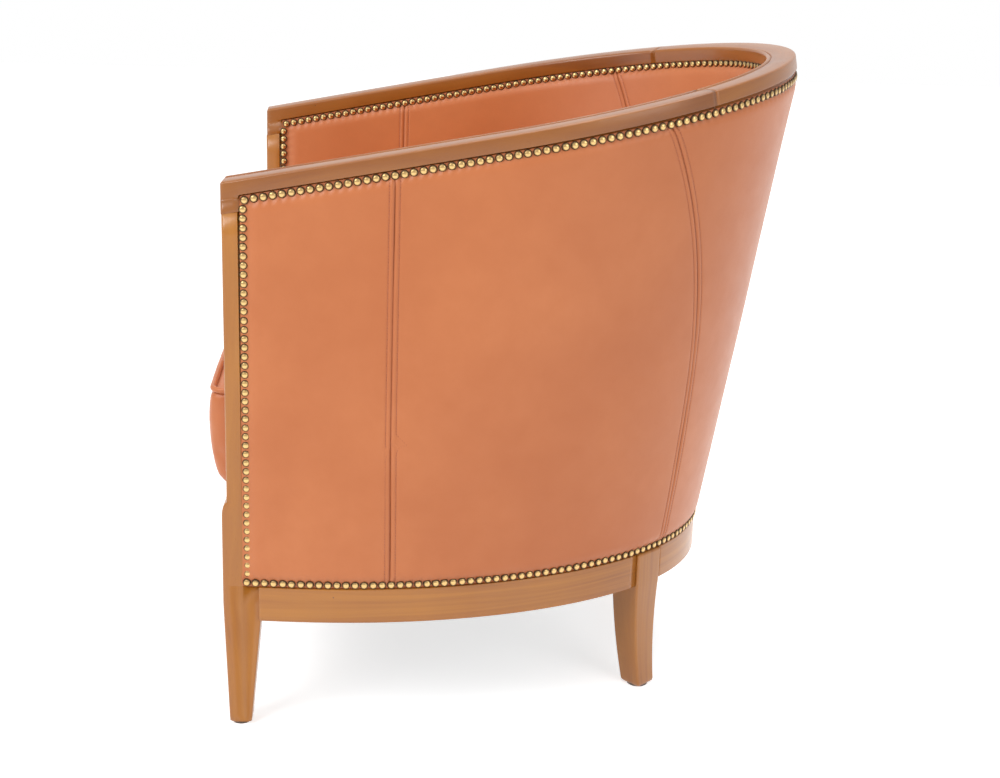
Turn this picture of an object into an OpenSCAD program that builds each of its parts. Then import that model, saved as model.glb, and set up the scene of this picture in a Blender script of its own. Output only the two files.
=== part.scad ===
// Tub armchair: an exposed beech frame, a curved leaning wall covered in leather inside and
// out, close nailing, and a fixed stuffed seat with a piped top edge.
// X is the width, the front faces -Y, Z is up; the origin is on the floor at the middle of the box.

/* [Overall] */
// Width over the wooden frame where it is widest
chair_w = 596; // [520:1:700]
// Height of the arm at its front end
arm_h = 660; // [600:1:720]
// Run of the top frame from the front of the arms to the outside of the crest
rim_run = 687; // [620:1:760]
// Run of the base frame from the front of the legs to the outside of the back rail
base_run = 588; // [540:1:640]
// Rise of the top frame from front to back, in degrees
rim_tilt = 10.8; // [6:0.1:14]

/* [Plan of the frame] */
// Length of the nearly straight arm before the crest starts to turn
rim_straight = 318; // [240:1:360]
// Length of the nearly straight side of the base before it starts to turn
base_straight = 123; // [90:1:200]
// How much narrower the frame is at the front posts, on each side
front_inset = 7.5; // [0:0.5:14]

/* [Rails] */
// Width of the rails, across the wall
rail_w = 36; // [32:1:44]
// Height of the wood that shows on the arms and crest
rim_face = 17; // [14:1:24]
// Height of the part of the rim that is covered, which takes the nails
rim_tongue = 18; // [14:1:26]
// Height of the wood that shows on the base rails
base_face = 43; // [34:1:60]
// Height of the part of the base rails that is covered, which takes the nails
base_tongue = 27; // [20:1:40]
// Underside of the base rails above the floor
base_z = 140; // [110:1:170]
// Depth of the rebate for the leather, on each side
rebate = 4; // [3:0.5:5]

/* [Legs] */
// Depth of the front posts from front to back
post_d = 38; // [36:1:46]
// Strip of post that shows beside the leather
post_strip = 18; // [14:1:24]
// How far the front leg stands proud of its post
shoulder = 6; // [3:0.5:8]
// Top of the shoulder of the front leg above the floor
shoulder_z = 286; // [270:1:300]
// Side of the front leg at the floor
leg_foot = 26; // [22:1:32]
// Side of the rear leg under the base rail
rear_leg = 42; // [36:1:46]
// Side of the rear leg at the floor
rear_foot = 30; // [24:1:36]
// How far the rear leg sweeps out at the floor
rear_sweep = 15; // [0:1:24]
// Thickness of the felt glide under each leg
glide_t = 2; // [1:0.5:4]

/* [Leather and nails] */
// Thickness of the leather
leather_t = 2; // [1.4:0.1:2.4]
// How far the stuffed panels stand out in their middle
puff = 4; // [2:0.5:6]
// Diameter of a nail head
nail_d = 9.8; // [8:0.1:10]
// Distance from nail to nail
nail_pitch = 10.5; // [10.2:0.1:12]
// Distance of the nails from the edge of the leather
nail_edge = 5.6; // [5:0.1:7]
// Length of a nail under its head
nail_shank = 9; // [6:1:11]

/* [Seat] */
// Height of the piping along the front of the seat
seat_z = 408; // [380:1:430]
// Rise of the middle of the seat above its piping
seat_crown = 34; // [15:1:45]
// How far the seat bulges in front of the posts
seat_bulge = 23; // [10:1:30]
// Top of the webbing that carries the seat
web_z = 207; // [195:1:215]
// Height of the fold where the front border tucks in
tuck_z = 280; // [270:1:300]
// Diameter of the piping
welt_d = 7; // [5:0.5:9]

/* [Joinery] */
// Diameter of the dowels
dowel_d = 10; // [8:0.5:12]
// Length of the dowels
dowel_l = 40; // [30:2:50]
// Spare length at each end of a dowel hole
dowel_gap = 1; // [0.5:0.5:2]
// Gap between a soft layer and what it lies on
soft_gap = 0.4; // [0.2:0.1:0.8]

/* [Hidden] */
$fn = 32;

half_rail = rail_w / 2;
mid_a = chair_w / 2 - half_rail;
tongue = half_rail - rebate;
skin = tongue + leather_t;
core = 9;
front_y = -(post_strip + nail_edge);
post_back = front_y + post_d;
rim_back = rim_run - half_rail;
base_back = base_run - half_rail;
leather_z = base_z + base_face;
rim_h = rim_face + rim_tongue;
edge_w = rim_face + 1;
post_x = mid_a - front_inset;
seat_front = front_y - seat_bulge;
crest_y = front_y + rim_run * cos(rim_tilt) + rim_face * sin(rim_tilt);
mid_y = (seat_front + crest_y + puff) / 2;
seam_front_y = 164;
seam_top_y = 462;
seam_base_y = 492;
leg_u = 1.63;
joint_u = 1.45;
side_u = 1.2;
strip_u = post_strip / rim_straight / cos(rim_tilt);

function mix(a, b, t) = a + (b - a) * t;

// Plan of half the frame: u is 0 at the front, 1 where the turn starts and 2 behind
function half_plan(u, run, back) = u < 1
    ? [mid_a - front_inset * pow(1 - u, 2), front_y + u * run]
    : [mid_a * cos(90 * (u - 1)), front_y + run + (back - run) * sin(90 * (u - 1))];
function plan(u, run, back) = u <= 2
    ? half_plan(u, run, back)
    : [-half_plan(4 - u, run, back)[0], half_plan(4 - u, run, back)[1]];
function unit(v) = v / norm(v);
function plan_out(u, run, back) =
    let (t = unit(plan(u + 0.002, run, back) - plan(u - 0.002, run, back))) [t[1], -t[0]];

// A point of the rim: n outwards from its middle, w down from its top face, square to its plane
function rim_flat(u, n) = plan(u, rim_straight, rim_back) + n * plan_out(u, rim_straight, rim_back);
function tilt(p, w) = [p[0],
    front_y + (p[1] - front_y) * cos(rim_tilt) + w * sin(rim_tilt),
    arm_h + (p[1] - front_y) * sin(rim_tilt) - w * cos(rim_tilt)];
function rim(u, n, w) = tilt(rim_flat(u, n), w);

// A point of the base: n outwards from its middle, at height z
function base(u, n, z) =
    let (p = plan(u, base_straight, base_back) + n * plan_out(u, base_straight, base_back)) [p[0], p[1], z];

// A point of the wall: h is 0 at the lower edge of the leather and 1 at its upper edge
function wall_mid(u, h) = mix(base(u, 0, leather_z), rim(u, 0, edge_w), h);
function wall_out(u, h) =
    let (t = wall_mid(u + 0.002, h) - wall_mid(u - 0.002, h), q = unit([t[1], -t[0]])) [q[0], q[1], 0];
function wall(u, h, n) = wall_mid(u, h) + n * wall_out(u, h);
function wall_h(u) = norm(rim(u, 0, edge_w) - base(u, 0, leather_z));

// The u of the place on the right-hand wall that is y from the front nails
function u_at(y, h) =
    let (run = mix(base_straight, rim_straight * cos(rim_tilt), h),
        back = mix(base_back, rim_back * cos(rim_tilt), h),
        q = y - front_y)
    q < run ? q / run : 1 + asin(min(1, (q - run) / (back - run))) / 90;
function seam_front(h) = u_at(seam_front_y, h);
function seam_rear(h) = u_at(mix(seam_base_y, seam_top_y, h), h);
function post_u(h) = u_at(-nail_edge, h);
function post_back_u(h) = u_at(post_back, h);

// The edge of panel k, counted from the front on the right: 0 and 5 are the posts
function edge_u(k, h) = k == 0 ? post_u(h) : k == 1 ? seam_front(h) : k == 2 ? seam_rear(h)
    : 4 - edge_u(5 - k, h);
function pad_u(k, h) = k == 0 ? post_back_u(h) : k == 5 ? 4 - post_back_u(h) : edge_u(k, h);
panel_cols = [3, 6, 12, 6, 3];

// A closed slab between two grids of points, a[i][j] on one face and b[i][j] on the other
module slab(a, b) {
    m = len(a);
    k = len(a[0]);
    pts = concat([for (r = a) each r], [for (r = b) each r]);
    o = m * k;
    faces = concat(
        [for (i = [0:m - 2], j = [0:k - 2]) each
            [[i * k + j, (i + 1) * k + j, (i + 1) * k + j + 1], [i * k + j, (i + 1) * k + j + 1, i * k + j + 1]]],
        [for (i = [0:m - 2], j = [0:k - 2]) each
            [[o + i * k + j, o + (i + 1) * k + j + 1, o + (i + 1) * k + j], [o + i * k + j, o + i * k + j + 1, o + (i + 1) * k + j + 1]]],
        [for (i = [0:m - 2]) each
            [[i * k, o + i * k, o + (i + 1) * k], [i * k, o + (i + 1) * k, (i + 1) * k]]],
        [for (i = [0:m - 2]) each
            [[i * k + k - 1, o + (i + 1) * k + k - 1, o + i * k + k - 1], [i * k + k - 1, (i + 1) * k + k - 1, o + (i + 1) * k + k - 1]]],
        [for (j = [0:k - 2]) each
            [[j, o + j + 1, o + j], [j, j + 1, o + j + 1]]],
        [for (j = [0:k - 2]) each
            [[(m - 1) * k + j, o + (m - 1) * k + j, o + (m - 1) * k + j + 1], [(m - 1) * k + j, o + (m - 1) * k + j + 1, (m - 1) * k + j + 1]]]);
    polyhedron(pts, faces);
}

// A closed solid through rings of points, with flat ends; a ring turns clockwise seen from its start
module loft(rings) {
    m = len(rings);
    k = len(rings[0]);
    faces = concat(
        [[for (j = [0:k - 1]) j]],
        [[for (j = [k - 1:-1:0]) (m - 1) * k + j]],
        [for (i = [0:m - 2], j = [0:k - 1]) each
            [[i * k + j, (i + 1) * k + j, (i + 1) * k + (j + 1) % k], [i * k + j, (i + 1) * k + (j + 1) % k, i * k + (j + 1) % k]]]);
    polyhedron([for (r = rings) each r], faces);
}

function steps(a, b, n) = [for (i = [0:n]) mix(a, b, i / n)];

// ---- wood ----
// Section of the rim from the outer foot round: [outwards, down from the top]
function rim_section() = [
    [tongue, rim_h], [tongue, rim_face], [half_rail, rim_face], [half_rail, 2],
    [half_rail - 2, 0.4], [half_rail - 6, 0], [half_rail - 16, -0.4], [7 - half_rail, 0.6],
    [6.4 - half_rail, 2.6], [5.4 - half_rail, 2.6], [4.8 - half_rail, 0.2], [3 - half_rail, -0.6],
    [1 - half_rail, 0.4], [-half_rail, 2.4], [-half_rail, rim_face], [-tongue, rim_face],
    [-tongue, rim_h]];
function rim_ring(u, section) = [for (q = section) rim(u, q[0], q[1])];
// The uncut end of the rim, which covers the front post
function end_section() = [for (q = rim_section()) abs(q[0]) == tongue
    ? [sign(q[0]) * half_rail, max(q[1], rim_face + 4)] : q];
module arm_solid() {
    loft(concat([for (u = steps(0, strip_u, 2)) rim_ring(u, end_section())],
        [for (u = steps(strip_u + 0.001, joint_u, 16)) rim_ring(u, rim_section())]));
}
module arm_rail(side) {
    color("sienna")
        difference() {
            mirror([side < 0 ? 1 : 0, 0, 0])
                arm_solid();
            crest_dowel_holes(side);
            arm_dowel_holes(side);
        }
}
module crest_rail() {
    color("sienna")
        difference() {
            loft([for (u = steps(joint_u, 4 - joint_u, 20)) rim_ring(u, rim_section())]);
            crest_dowel_holes(1);
            crest_dowel_holes(-1);
        }
}
// Places a child in the plane of the rim at u, with X outwards and Y along the rim
module on_rim(u, side, w) {
    p = rim_flat(u, 0);
    t = plan_out(u, rim_straight, rim_back);
    mirror([side < 0 ? 1 : 0, 0, 0])
        translate([0, front_y, arm_h])
            rotate([rim_tilt, 0, 0])
                translate([p[0], p[1] - front_y, -w])
                    rotate([0, 0, atan2(t[1], t[0])])
                        children();
}
// Places a child on the base rail at u, with X outwards and Y along the rail
module on_base(u, side) {
    p = base(u, 0, 0);
    t = plan_out(u, base_straight, base_back);
    mirror([side < 0 ? 1 : 0, 0, 0])
        translate([p[0], p[1], 0])
            rotate([0, 0, atan2(t[1], t[0])])
                children();
}
module dowel(l) {
    rotate([90, 0, 0])
        cylinder(d = dowel_d, h = l, center = true);
}
module crest_dowel_pair(side, l) {
    for (n = [-1, 1])
        on_rim(joint_u, side, rim_face)
            translate([n * tongue / 2, 0, 0])
                dowel(l);
}
module crest_dowel_holes(side) {
    crest_dowel_pair(side, dowel_l + 2 * dowel_gap);
}
module crest_dowels() {
    color("burlywood") {
        crest_dowel_pair(1, dowel_l);
        crest_dowel_pair(-1, dowel_l);
    }
}
// Dowels that stand in the front posts and enter the arm rails
post_top_z = arm_h - rim_h * cos(rim_tilt);
module arm_dowel_pair(side, l) {
    for (y = [11, post_d - 11])
        translate([side * post_x, front_y + y, post_top_z + y * sin(rim_tilt)])
            cylinder(d = dowel_d, h = l, center = true);
}
module arm_dowel_holes(side) {
    arm_dowel_pair(side, dowel_l - 4 + 2 * dowel_gap);
}
module arm_dowels() {
    color("burlywood") {
        arm_dowel_pair(1, dowel_l - 4);
        arm_dowel_pair(-1, dowel_l - 4);
    }
}

// Outline of the front leg seen from the side: [front to back, height]
leg_top_z = shoulder_z - 18;
leg_front = front_y - shoulder;
leg_foot_y = leg_front + 5;
function shoulder_curve() = [for (a = [0:15:90])
    [front_y - shoulder * sin(a), mix(leg_top_z, shoulder_z, cos(a))]];
module leg_side_outline() {
    polygon(concat(
        [[front_y, arm_h - 4]], shoulder_curve(),
        [[leg_front, base_z + 20], [leg_foot_y, glide_t], [leg_foot_y + leg_foot, glide_t],
        [post_back, base_z], [post_back, arm_h + post_d]]));
}
module front_leg(side) {
    foot = (rail_w - leg_foot) / 2;
    color("peru")
        difference() {
            translate([side * post_x, 0, 0])
                intersection() {
                    translate([-half_rail, 0, 0])
                        rotate([90, 0, 90])
                            linear_extrude(rail_w)
                                leg_side_outline();
                    translate([0, 2 * arm_h, 0])
                        rotate([90, 0, 0])
                            linear_extrude(4 * arm_h)
                                polygon([[-half_rail + foot, 0], [half_rail - foot, 0],
                                    [half_rail, base_z], [half_rail, 2 * arm_h],
                                    [-half_rail, 2 * arm_h], [-half_rail, base_z]]);
                }
            for (s = [-1, 1])
                post_rebate(side, s);
            translate([0, front_y, arm_h])
                rotate([rim_tilt, 0, 0])
                    translate([-chair_w, -post_d, -rim_h])
                        cube([2 * chair_w, 3 * post_d, 4 * post_d]);
            arm_dowel_holes(side);
            seat_dowel_holes();
        }
}
// The rebate for the leather on the outer and inner face of a post
module post_rebate(side, s) {
    translate([side * post_x + s * (tongue + rail_w / 2), front_y + post_strip + post_d / 2,
        leather_z + arm_h / 2])
        cube([rail_w, post_d, arm_h], center = true);
}

rear_block_out = half_rail + 2.5;
function rear_ring(z) =
    let (t = max(0, (base_z - z) / (base_z - glide_t)),
        s = mix(rear_leg, rear_foot, t) / 2,
        c = rear_block_out - rear_leg / 2 + rear_sweep * t * t - (rear_leg - rear_foot) / 4 * t)
    [[c + s, -s, z], [c - s, -s, z], [c - s, s, z], [c + s, s, z]];
module rear_block() {
    translate([rear_block_out - rear_leg, -rear_leg / 2, base_z])
        cube([rear_leg, rear_leg, base_face]);
    translate([-tongue, -rear_leg / 2, base_z])
        cube([2 * tongue, rear_leg, base_face + base_tongue]);
}
// What a rear leg cuts out of the base rails
module rear_cut() {
    translate([-rail_w, -rear_leg / 2, base_z - 1])
        cube([2 * rail_w, rear_leg, base_face + base_tongue + 2]);
}
module rear_leg_piece(side) {
    color("peru")
        difference() {
            on_base(leg_u, side)
                union() {
                    rear_block();
                    loft([for (z = [base_z, 112, 84, 56, 28, glide_t]) rear_ring(z)]);
                }
            seat_dowel_holes();
        }
}

function base_section() = [[half_rail, base_z], [-half_rail, base_z], [-half_rail, leather_z],
    [-tongue, leather_z], [-tongue, leather_z + base_tongue], [tongue, leather_z + base_tongue],
    [tongue, leather_z], [half_rail, leather_z]];
module base_rail(u0, u1, n) {
    loft([for (u = steps(u1, u0, n)) [for (q = base_section()) base(u, q[0], q[1])]]);
}
module seat_rail_side(side) {
    color("peru")
        difference() {
            mirror([side < 0 ? 1 : 0, 0, 0])
                base_rail(0.2, leg_u, 14);
            on_base(leg_u, side)
                rear_cut();
            translate([-chair_w, front_y - post_d, 0])
                cube([2 * chair_w, 2 * post_d, arm_h]);
            seat_dowel_holes();
        }
}
module seat_rail_back() {
    color("peru")
        difference() {
            base_rail(leg_u, 4 - leg_u, 12);
            on_base(leg_u, 1)
                rear_cut();
            on_base(leg_u, -1)
                rear_cut();
            seat_dowel_holes();
        }
}
front_rail_l = 2 * (post_x - half_rail);
front_rail_y = front_y + 2;
front_rail_t = 26;
module seat_rail_front() {
    color("peru")
        difference() {
            union() {
                translate([-front_rail_l / 2, front_rail_y, base_z])
                    cube([front_rail_l, front_rail_t, base_face]);
                translate([-front_rail_l / 2, front_rail_y + rebate, leather_z])
                    cube([front_rail_l, front_rail_t - rebate, base_tongue]);
            }
            seat_dowel_holes();
        }
}
// Every dowel of the seat frame, two to a joint; at the front posts the two sets pass each other
dowel_step = 12;
module seat_dowel_set(l) {
    for (z = [base_z + 10, base_z + 10 + 2 * dowel_step], side = [-1, 1]) {
        translate([side * front_rail_l / 2, front_rail_y + front_rail_t / 2 + 1, z])
            rotate([0, 90, 0])
                cylinder(d = dowel_d, h = l - 8, center = true);
        translate([side * (post_x + 1), post_back, z + dowel_step])
            dowel(l);
        for (s = [-1, 1])
            on_base(leg_u, side)
                translate([0, s * rear_leg / 2, z + dowel_step])
                    dowel(l - 12);
    }
}
module seat_dowel_holes() {
    seat_dowel_set(dowel_l + 2 * dowel_gap);
}
module seat_rail_dowels() {
    color("burlywood")
        seat_dowel_set(dowel_l);
}

// A wooden upright inside the wall, from the base rail to the rim
upright_w = 44;
module upright(u, side) {
    span = upright_w / 900;
    color("wheat")
        mirror([side < 0 ? 1 : 0, 0, 0]) {
            cols = [u - span, u, u + span];
            rows = steps(0, 1, 5);
            slab([for (c = cols) [for (r = rows) upright_pt(c, r, core)]],
                [for (c = cols) [for (r = rows) upright_pt(c, r, -core)]]);
        }
}
function upright_pt(u, r, n) =
    let (h0 = base_tongue / (wall_h(u) * 0.985), h1 = 1 - (rim_h - edge_w + 1) / wall_h(u))
    wall(u, mix(h0, h1, r), n);

// ---- corner blocks ----
block_t = 30;
block_side = 62;
block_z = base_z + 6;
block_h = 46;
module corner_block(side) {
    translate([side * (front_rail_l / 2 - 0.1), post_back + 0.1, block_z])
        rotate([0, 0, side > 0 ? 90 : 0])
            linear_extrude(block_h)
                polygon([[0, 0], [block_side, 0], [block_side, 8], [8, block_side], [0, block_side]]);
}
module rear_corner_block(side) {
    on_base(leg_u, side)
        translate([rear_block_out - rear_leg - block_t - 0.2, -block_side / 2, block_z])
            cube([block_t, block_side, block_h]);
}
module corner_blocks() {
    color("burlywood")
        difference() {
            for (side = [-1, 1]) {
                corner_block(side);
                rear_corner_block(side);
            }
            block_screw_set(screw_d);
        }
}
screw_d = 5;
screw_l = 48;
module block_screw(d) {
    translate([0, 0, -screw_l])
        cylinder(d = d, h = screw_l);
    cylinder(d = d + 4, h = 3);
}
module block_screw_set(d) {
    for (side = [-1, 1], z = [14, block_h - 14]) {
        on_base(leg_u, side)
            translate([rear_block_out - rear_leg - block_t - 0.2, 0, block_z + z])
                rotate([0, -90, 0])
                    block_screw(d);
        translate([side * (front_rail_l / 2 - block_side * 0.55), post_back + block_side * 0.55, block_z + z])
            rotate([90, 0, side > 0 ? -135 + 180 : 135 + 180])
                translate([0, 0, -2])
                    block_screw(d);
    }
}
module block_screws() {
    color("silver")
        block_screw_set(screw_d - 0.2);
}

// ---- wall padding and leather ----
// Lower edge of the inner leather above the lower edge of the outer leather
in_low = 104;
// One stuffed panel: out is 1 outside and -1 inside; the edges e are u functions of h
module panel(k, out, n0, n1, low, high, bulge, pad) {
    rows = [0, 0.03, 0.1, 0.5, 0.9, 0.97, 1];
    cols = steps(0, 1, panel_cols[k]);
    rise = [0, 0.6, 1, 1, 1, 0.6, 0];
    face = [for (c = cols) [for (j = [0:len(rows) - 1]) panel_pt(k, c, rows[j], low, high,
        out * (n1 + bulge * rise[j]), pad)]];
    back = [for (c = cols) [for (j = [0:len(rows) - 1]) panel_pt(k, c, rows[j], low, high,
        out * (n0 + (pad ? 0 : bulge * rise[j])), pad)]];
    if (out > 0)
        slab(face, back);
    else
        slab(back, face);
}
function panel_pt(k, c, r, low, high, n, pad) =
    let (h = mix(low, wall_h(1.5) - high, r) / wall_h(1.5),
        u = mix(pad ? pad_u(k, h) : edge_u(k, h), pad ? pad_u(k + 1, h) : edge_u(k + 1, h), c))
    wall(u, h, n);
module leather(k, out) {
    color(out > 0 ? "chocolate" : "peru")
        panel(k, out, tongue + soft_gap, skin, out > 0 ? 0.5 : in_low, 0.5, puff, false);
}
module padding(k, out) {
    color("ivory")
        panel(k, out, core + soft_gap, tongue, out > 0 ? base_tongue + 2 : in_low + 2,
            rim_h - edge_w + 4, puff - soft_gap, true);
}

// ---- seat ----
seat_gap = skin + puff + soft_gap + 0.4;
seat_half = post_x - half_rail - 1.5;
deck_z = web_z + 3;
function wall_at(u, z, n) = wall(u, (z - leather_z) / (rim(u, 0, edge_w)[2] - leather_z), n);
// Half outline of the seat at height z, from the middle of the front to the middle of the back
function seat_half_outline(z, fy, inset) =
    let (r = 26, x1 = seat_half - inset)
    concat(
        [[0, fy], [x1 / 2, fy + 0.8], [x1 - r, fy + 3]],
        [for (a = [30:30:90]) [x1 - r + r * sin(a), fy + 3 + r * (1 - cos(a))]],
        [[x1, post_back]],
        [for (i = [1:12]) let (u = mix(post_back_u(0.3) + 0.12, 2, i / 12), p = wall_at(u, z, -seat_gap - inset))
            [p[0], p[1]]]);
function seat_ring(z, fy, inset) =
    let (h = seat_half_outline(z, fy, inset), m = len(h))
    concat([for (p = h) [p[0], p[1], z]], [for (i = [m - 2:-1:1]) [-h[i][0], h[i][1], z]]);
// A ring of the crowned top: f is 0 at the piping and 1 in the middle
function crown_ring(f, lift) =
    let (base_r = seat_ring(seat_z, seat_front + 3, 0), c = [0, (seat_front + base_back) / 2, 0])
    [for (p = base_r) [mix(p[0], c[0], f), mix(p[1], c[1], f),
        seat_z + lift + seat_crown * (1 - pow(1 - f, 2.2))]];
function seat_side(lift) = [
    for (q = [[deck_z, front_y + 12], [tuck_z - 6, front_y + 8], [tuck_z, front_y + 4],
        [tuck_z + 24, seat_front + 9], [mix(tuck_z, seat_z, 0.55), seat_front],
        [seat_z - 14, seat_front], [seat_z, seat_front + 3]])
        seat_ring(q[0], q[1] + leather_t + soft_gap, lift)];
module seat_foam() {
    color("khaki")
        loft_up(concat(seat_side(leather_t), [for (f = [0.12, 0.35, 0.7, 0.97]) crown_ring(f, -leather_t - soft_gap)]));
}
module loft_up(rings) {
    loft([for (r = rings) [for (i = [len(r) - 1:-1:0]) r[i]]]);
}
module seat_top_leather() {
    color("chocolate")
        loft_up(concat([for (f = [0.97, 0.7, 0.35, 0.12, 0.04]) crown_ring(f, -leather_t)],
            [for (f = [0.04, 0.12, 0.35, 0.7, 0.97]) crown_ring(f, 0)]));
}
border_rows = [[leather_z + 2, front_rail_y + rebate - leather_t - soft_gap],
    [leather_z + base_tongue, front_rail_y + rebate - leather_t - soft_gap],
    [tuck_z - 12, front_y + 3], [tuck_z, front_y + 1],
    [tuck_z + 24, seat_front + 6], [mix(tuck_z, seat_z, 0.55), seat_front],
    [seat_z - 14, seat_front], [seat_z - welt_d / 2, seat_front + 2]];
function border_pt(s, q, lift) =
    let (x1 = seat_half, r = 26, z = q[0], fy = q[1],
        low = z < tuck_z, rr = low ? 4 : r)
    abs(s) <= 1
        ? [s * (x1 - rr), fy + (low ? 0 : 3 * abs(s)) + lift, z]
        : let (a = (abs(s) - 1) * 90, rl = rr - lift)
            [sign(s) * (x1 - rr + rl * sin(a)), fy + (low ? 0 : 3) + rr - rl * cos(a), z];
module seat_border_leather() {
    ss = concat([for (a = [2, 1.66, 1.33]) -a], [-1, -0.5, 0, 0.5, 1], [1.33, 1.66, 2]);
    color("chocolate")
        slab([for (s = ss) [for (q = border_rows) border_pt(s, q, 0)]],
            [for (s = ss) [for (q = border_rows) border_pt(s, q, leather_t)]]);
}
// The piping runs along the front edge, round both corners and back beside the walls
function welt_path() =
    let (h = seat_half_outline(seat_z, seat_front + 3, 0.5), m = 9)
    concat([for (i = [m:-1:1]) [-h[i][0], h[i][1]]], [for (i = [0:m]) h[i]]);
module seat_welt() {
    path = welt_path();
    m = len(path);
    function dir(i) = unit(path[min(m - 1, i + 1)] - path[max(0, i - 1)]);
    color("sienna")
        loft([for (i = [0:m - 1]) [for (a = [0:45:315])
            [path[i][0] - dir(i)[1] * welt_d / 2 * cos(a), path[i][1] + dir(i)[0] * welt_d / 2 * cos(a),
            seat_z + welt_d / 2 + welt_d / 2 * sin(a) - 1]]]);
}
module seat_plan(z, n) {
    pts = [for (i = [0:14]) let (p = base(mix(0.45, 2, i / 14), n, 0)) [p[0], p[1]]];
    polygon(concat([for (p = pts) p], [for (i = [13:-1:0]) [-pts[i][0], pts[i][1]]]));
}
module seat_hessian() {
    color("tan")
        translate([0, 0, web_z + 1.4])
            linear_extrude(1)
                seat_plan(0, -tongue - 3);
}
strap_w = 50;
strap_t = 1;
module webbing_lengthwise() {
    color("dimgray")
        for (i = [-3:3])
            translate([i * 66 - strap_w / 2, front_rail_y + front_rail_t + 1, web_z])
                cube([strap_w, strap_y(i * 66 + strap_w / 2 * sign(i)) - front_rail_y - front_rail_t - 1, strap_t]);
}
// Inside of the base frame at x
function strap_y(x) =
    let (t = min(0.96, abs(x) / (mid_a - half_rail)))
    front_y + base_straight + (base_back - base_straight - half_rail) * sqrt(1 - t * t) - 6;
function strap_x(y) =
    let (t = max(0, (y - front_y - base_straight) / (base_back - base_straight - half_rail)))
    (mid_a - half_rail) * sqrt(1 - min(0.98, t) * min(0.98, t)) - 7;
module webbing_crosswise() {
    color("dimgray")
        for (i = [0:5]) {
            y = post_back + 22 + i * 72;
            x = strap_x(y + strap_w);
            translate([-x, y, web_z - strap_t - 0.3])
                cube([2 * x, strap_w, strap_t]);
        }
}

// ---- nails ----
// A nail along +Z: the head stands on z = 0 and the shank goes down
head_h = nail_d * 0.3;
head_r = (nail_d * nail_d / 4 + head_h * head_h) / (2 * head_h);
module nail() {
    translate([0, 0, head_h - head_r])
        intersection() {
            sphere(r = head_r, $fn = 24);
            translate([0, 0, head_r - head_h])
                cylinder(r = nail_d, h = 2 * head_h);
        }
    translate([0, 0, -nail_shank])
        cylinder(d = 1.6, h = nail_shank + 0.1, $fn = 16);
}
// Puts a nail at p, pointing along the plan direction q
module nail_at(p, q) {
    translate(p)
        rotate([0, 90, atan2(q[1], q[0])])
            nail();
}
// Lengths along a row, and the u of each nail at an even spacing
row_n = 160;
function arc(f) = let (d = [for (i = [1:row_n]) norm(f[i] - f[i - 1])])
    [for (i = 0, s = 0; i <= row_n; s = s + (i < row_n ? d[i] : 0), i = i + 1) s];
function spaced(f, us) =
    let (s = arc(f), total = s[row_n], n = round(total / nail_pitch))
    [for (k = [0:n]) lookup(k * total / n, [for (i = [0:row_n]) [s[i], us[i]]])];
module wall_nails(u0, u1, dist, out) {
    us = steps(u0, u1, row_n);
    hs = [for (u = us) dist > 0 ? dist / wall_h(u) : 1 + dist / wall_h(u)];
    f = [for (i = [0:row_n]) wall(us[i], hs[i], out * skin)];
    for (u = spaced(f, us)) {
        h = dist > 0 ? dist / wall_h(u) : 1 + dist / wall_h(u);
        nail_at(wall(u, h, out * skin), out * wall_out(u, h));
    }
}
module nails_rim_outside() {
    color("gold")
        wall_nails(u_at(0, 1), 4 - u_at(0, 1), -nail_edge, 1);
}
module nails_rim_inside() {
    color("gold")
        wall_nails(u_at(0, 1), 4 - u_at(0, 1), -nail_edge, -1);
}
module nails_base() {
    color("gold")
        wall_nails(u_at(0, 0), 4 - u_at(0, 0), nail_edge, 1);
}
module post_nails(side, out, z0) {
    z1 = wall(u_at(0, 1), 1 - nail_edge / wall_h(0.1), 0)[2];
    n = round((z1 - z0) / nail_pitch);
    for (i = [1:n - 1])
        nail_at([side * (post_x + out * skin), 0, mix(z0, z1, i / n)], [side * out, 0]);
}
module nails_post(side) {
    color("gold")
        post_nails(side, 1, leather_z + nail_edge);
}
module nails_posts_inside() {
    color("gold") {
        post_nails(1, -1, seat_z + 24);
        post_nails(-1, -1, seat_z + 24);
    }
}
module nails_seat_front() {
    w = front_rail_l - 2 * nail_edge - 6;
    n = round(w / nail_pitch);
    color("gold")
        for (i = [0:n])
            nail_at([-w / 2 + w * i / n, border_rows[0][1], leather_z + 2 + nail_edge], [0, -1]);
}

module dust_cover() {
    color("black")
        translate([0, 0, base_z - 1])
            linear_extrude(0.8)
                difference() {
                    seat_plan(0, half_rail - 8);
                    for (side = [-1, 1])
                        translate([base(leg_u, 0, 0)[0] * side, base(leg_u, 0, 0)[1]])
                            circle(r = rear_leg * 0.9);
                }
}
module glides() {
    color("dimgray")
        for (side = [-1, 1]) {
            translate([side * post_x, leg_foot_y + leg_foot / 2, 0])
                cylinder(d = leg_foot - 4, h = glide_t);
            on_base(leg_u, side)
                translate([rear_block_out - rear_leg / 2 + rear_sweep - (rear_leg - rear_foot) / 4, 0, 0])
                    cylinder(d = rear_foot - 4, h = glide_t);
        }
}
module place() {
    translate([0, -mid_y, 0])
        children();
}

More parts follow.
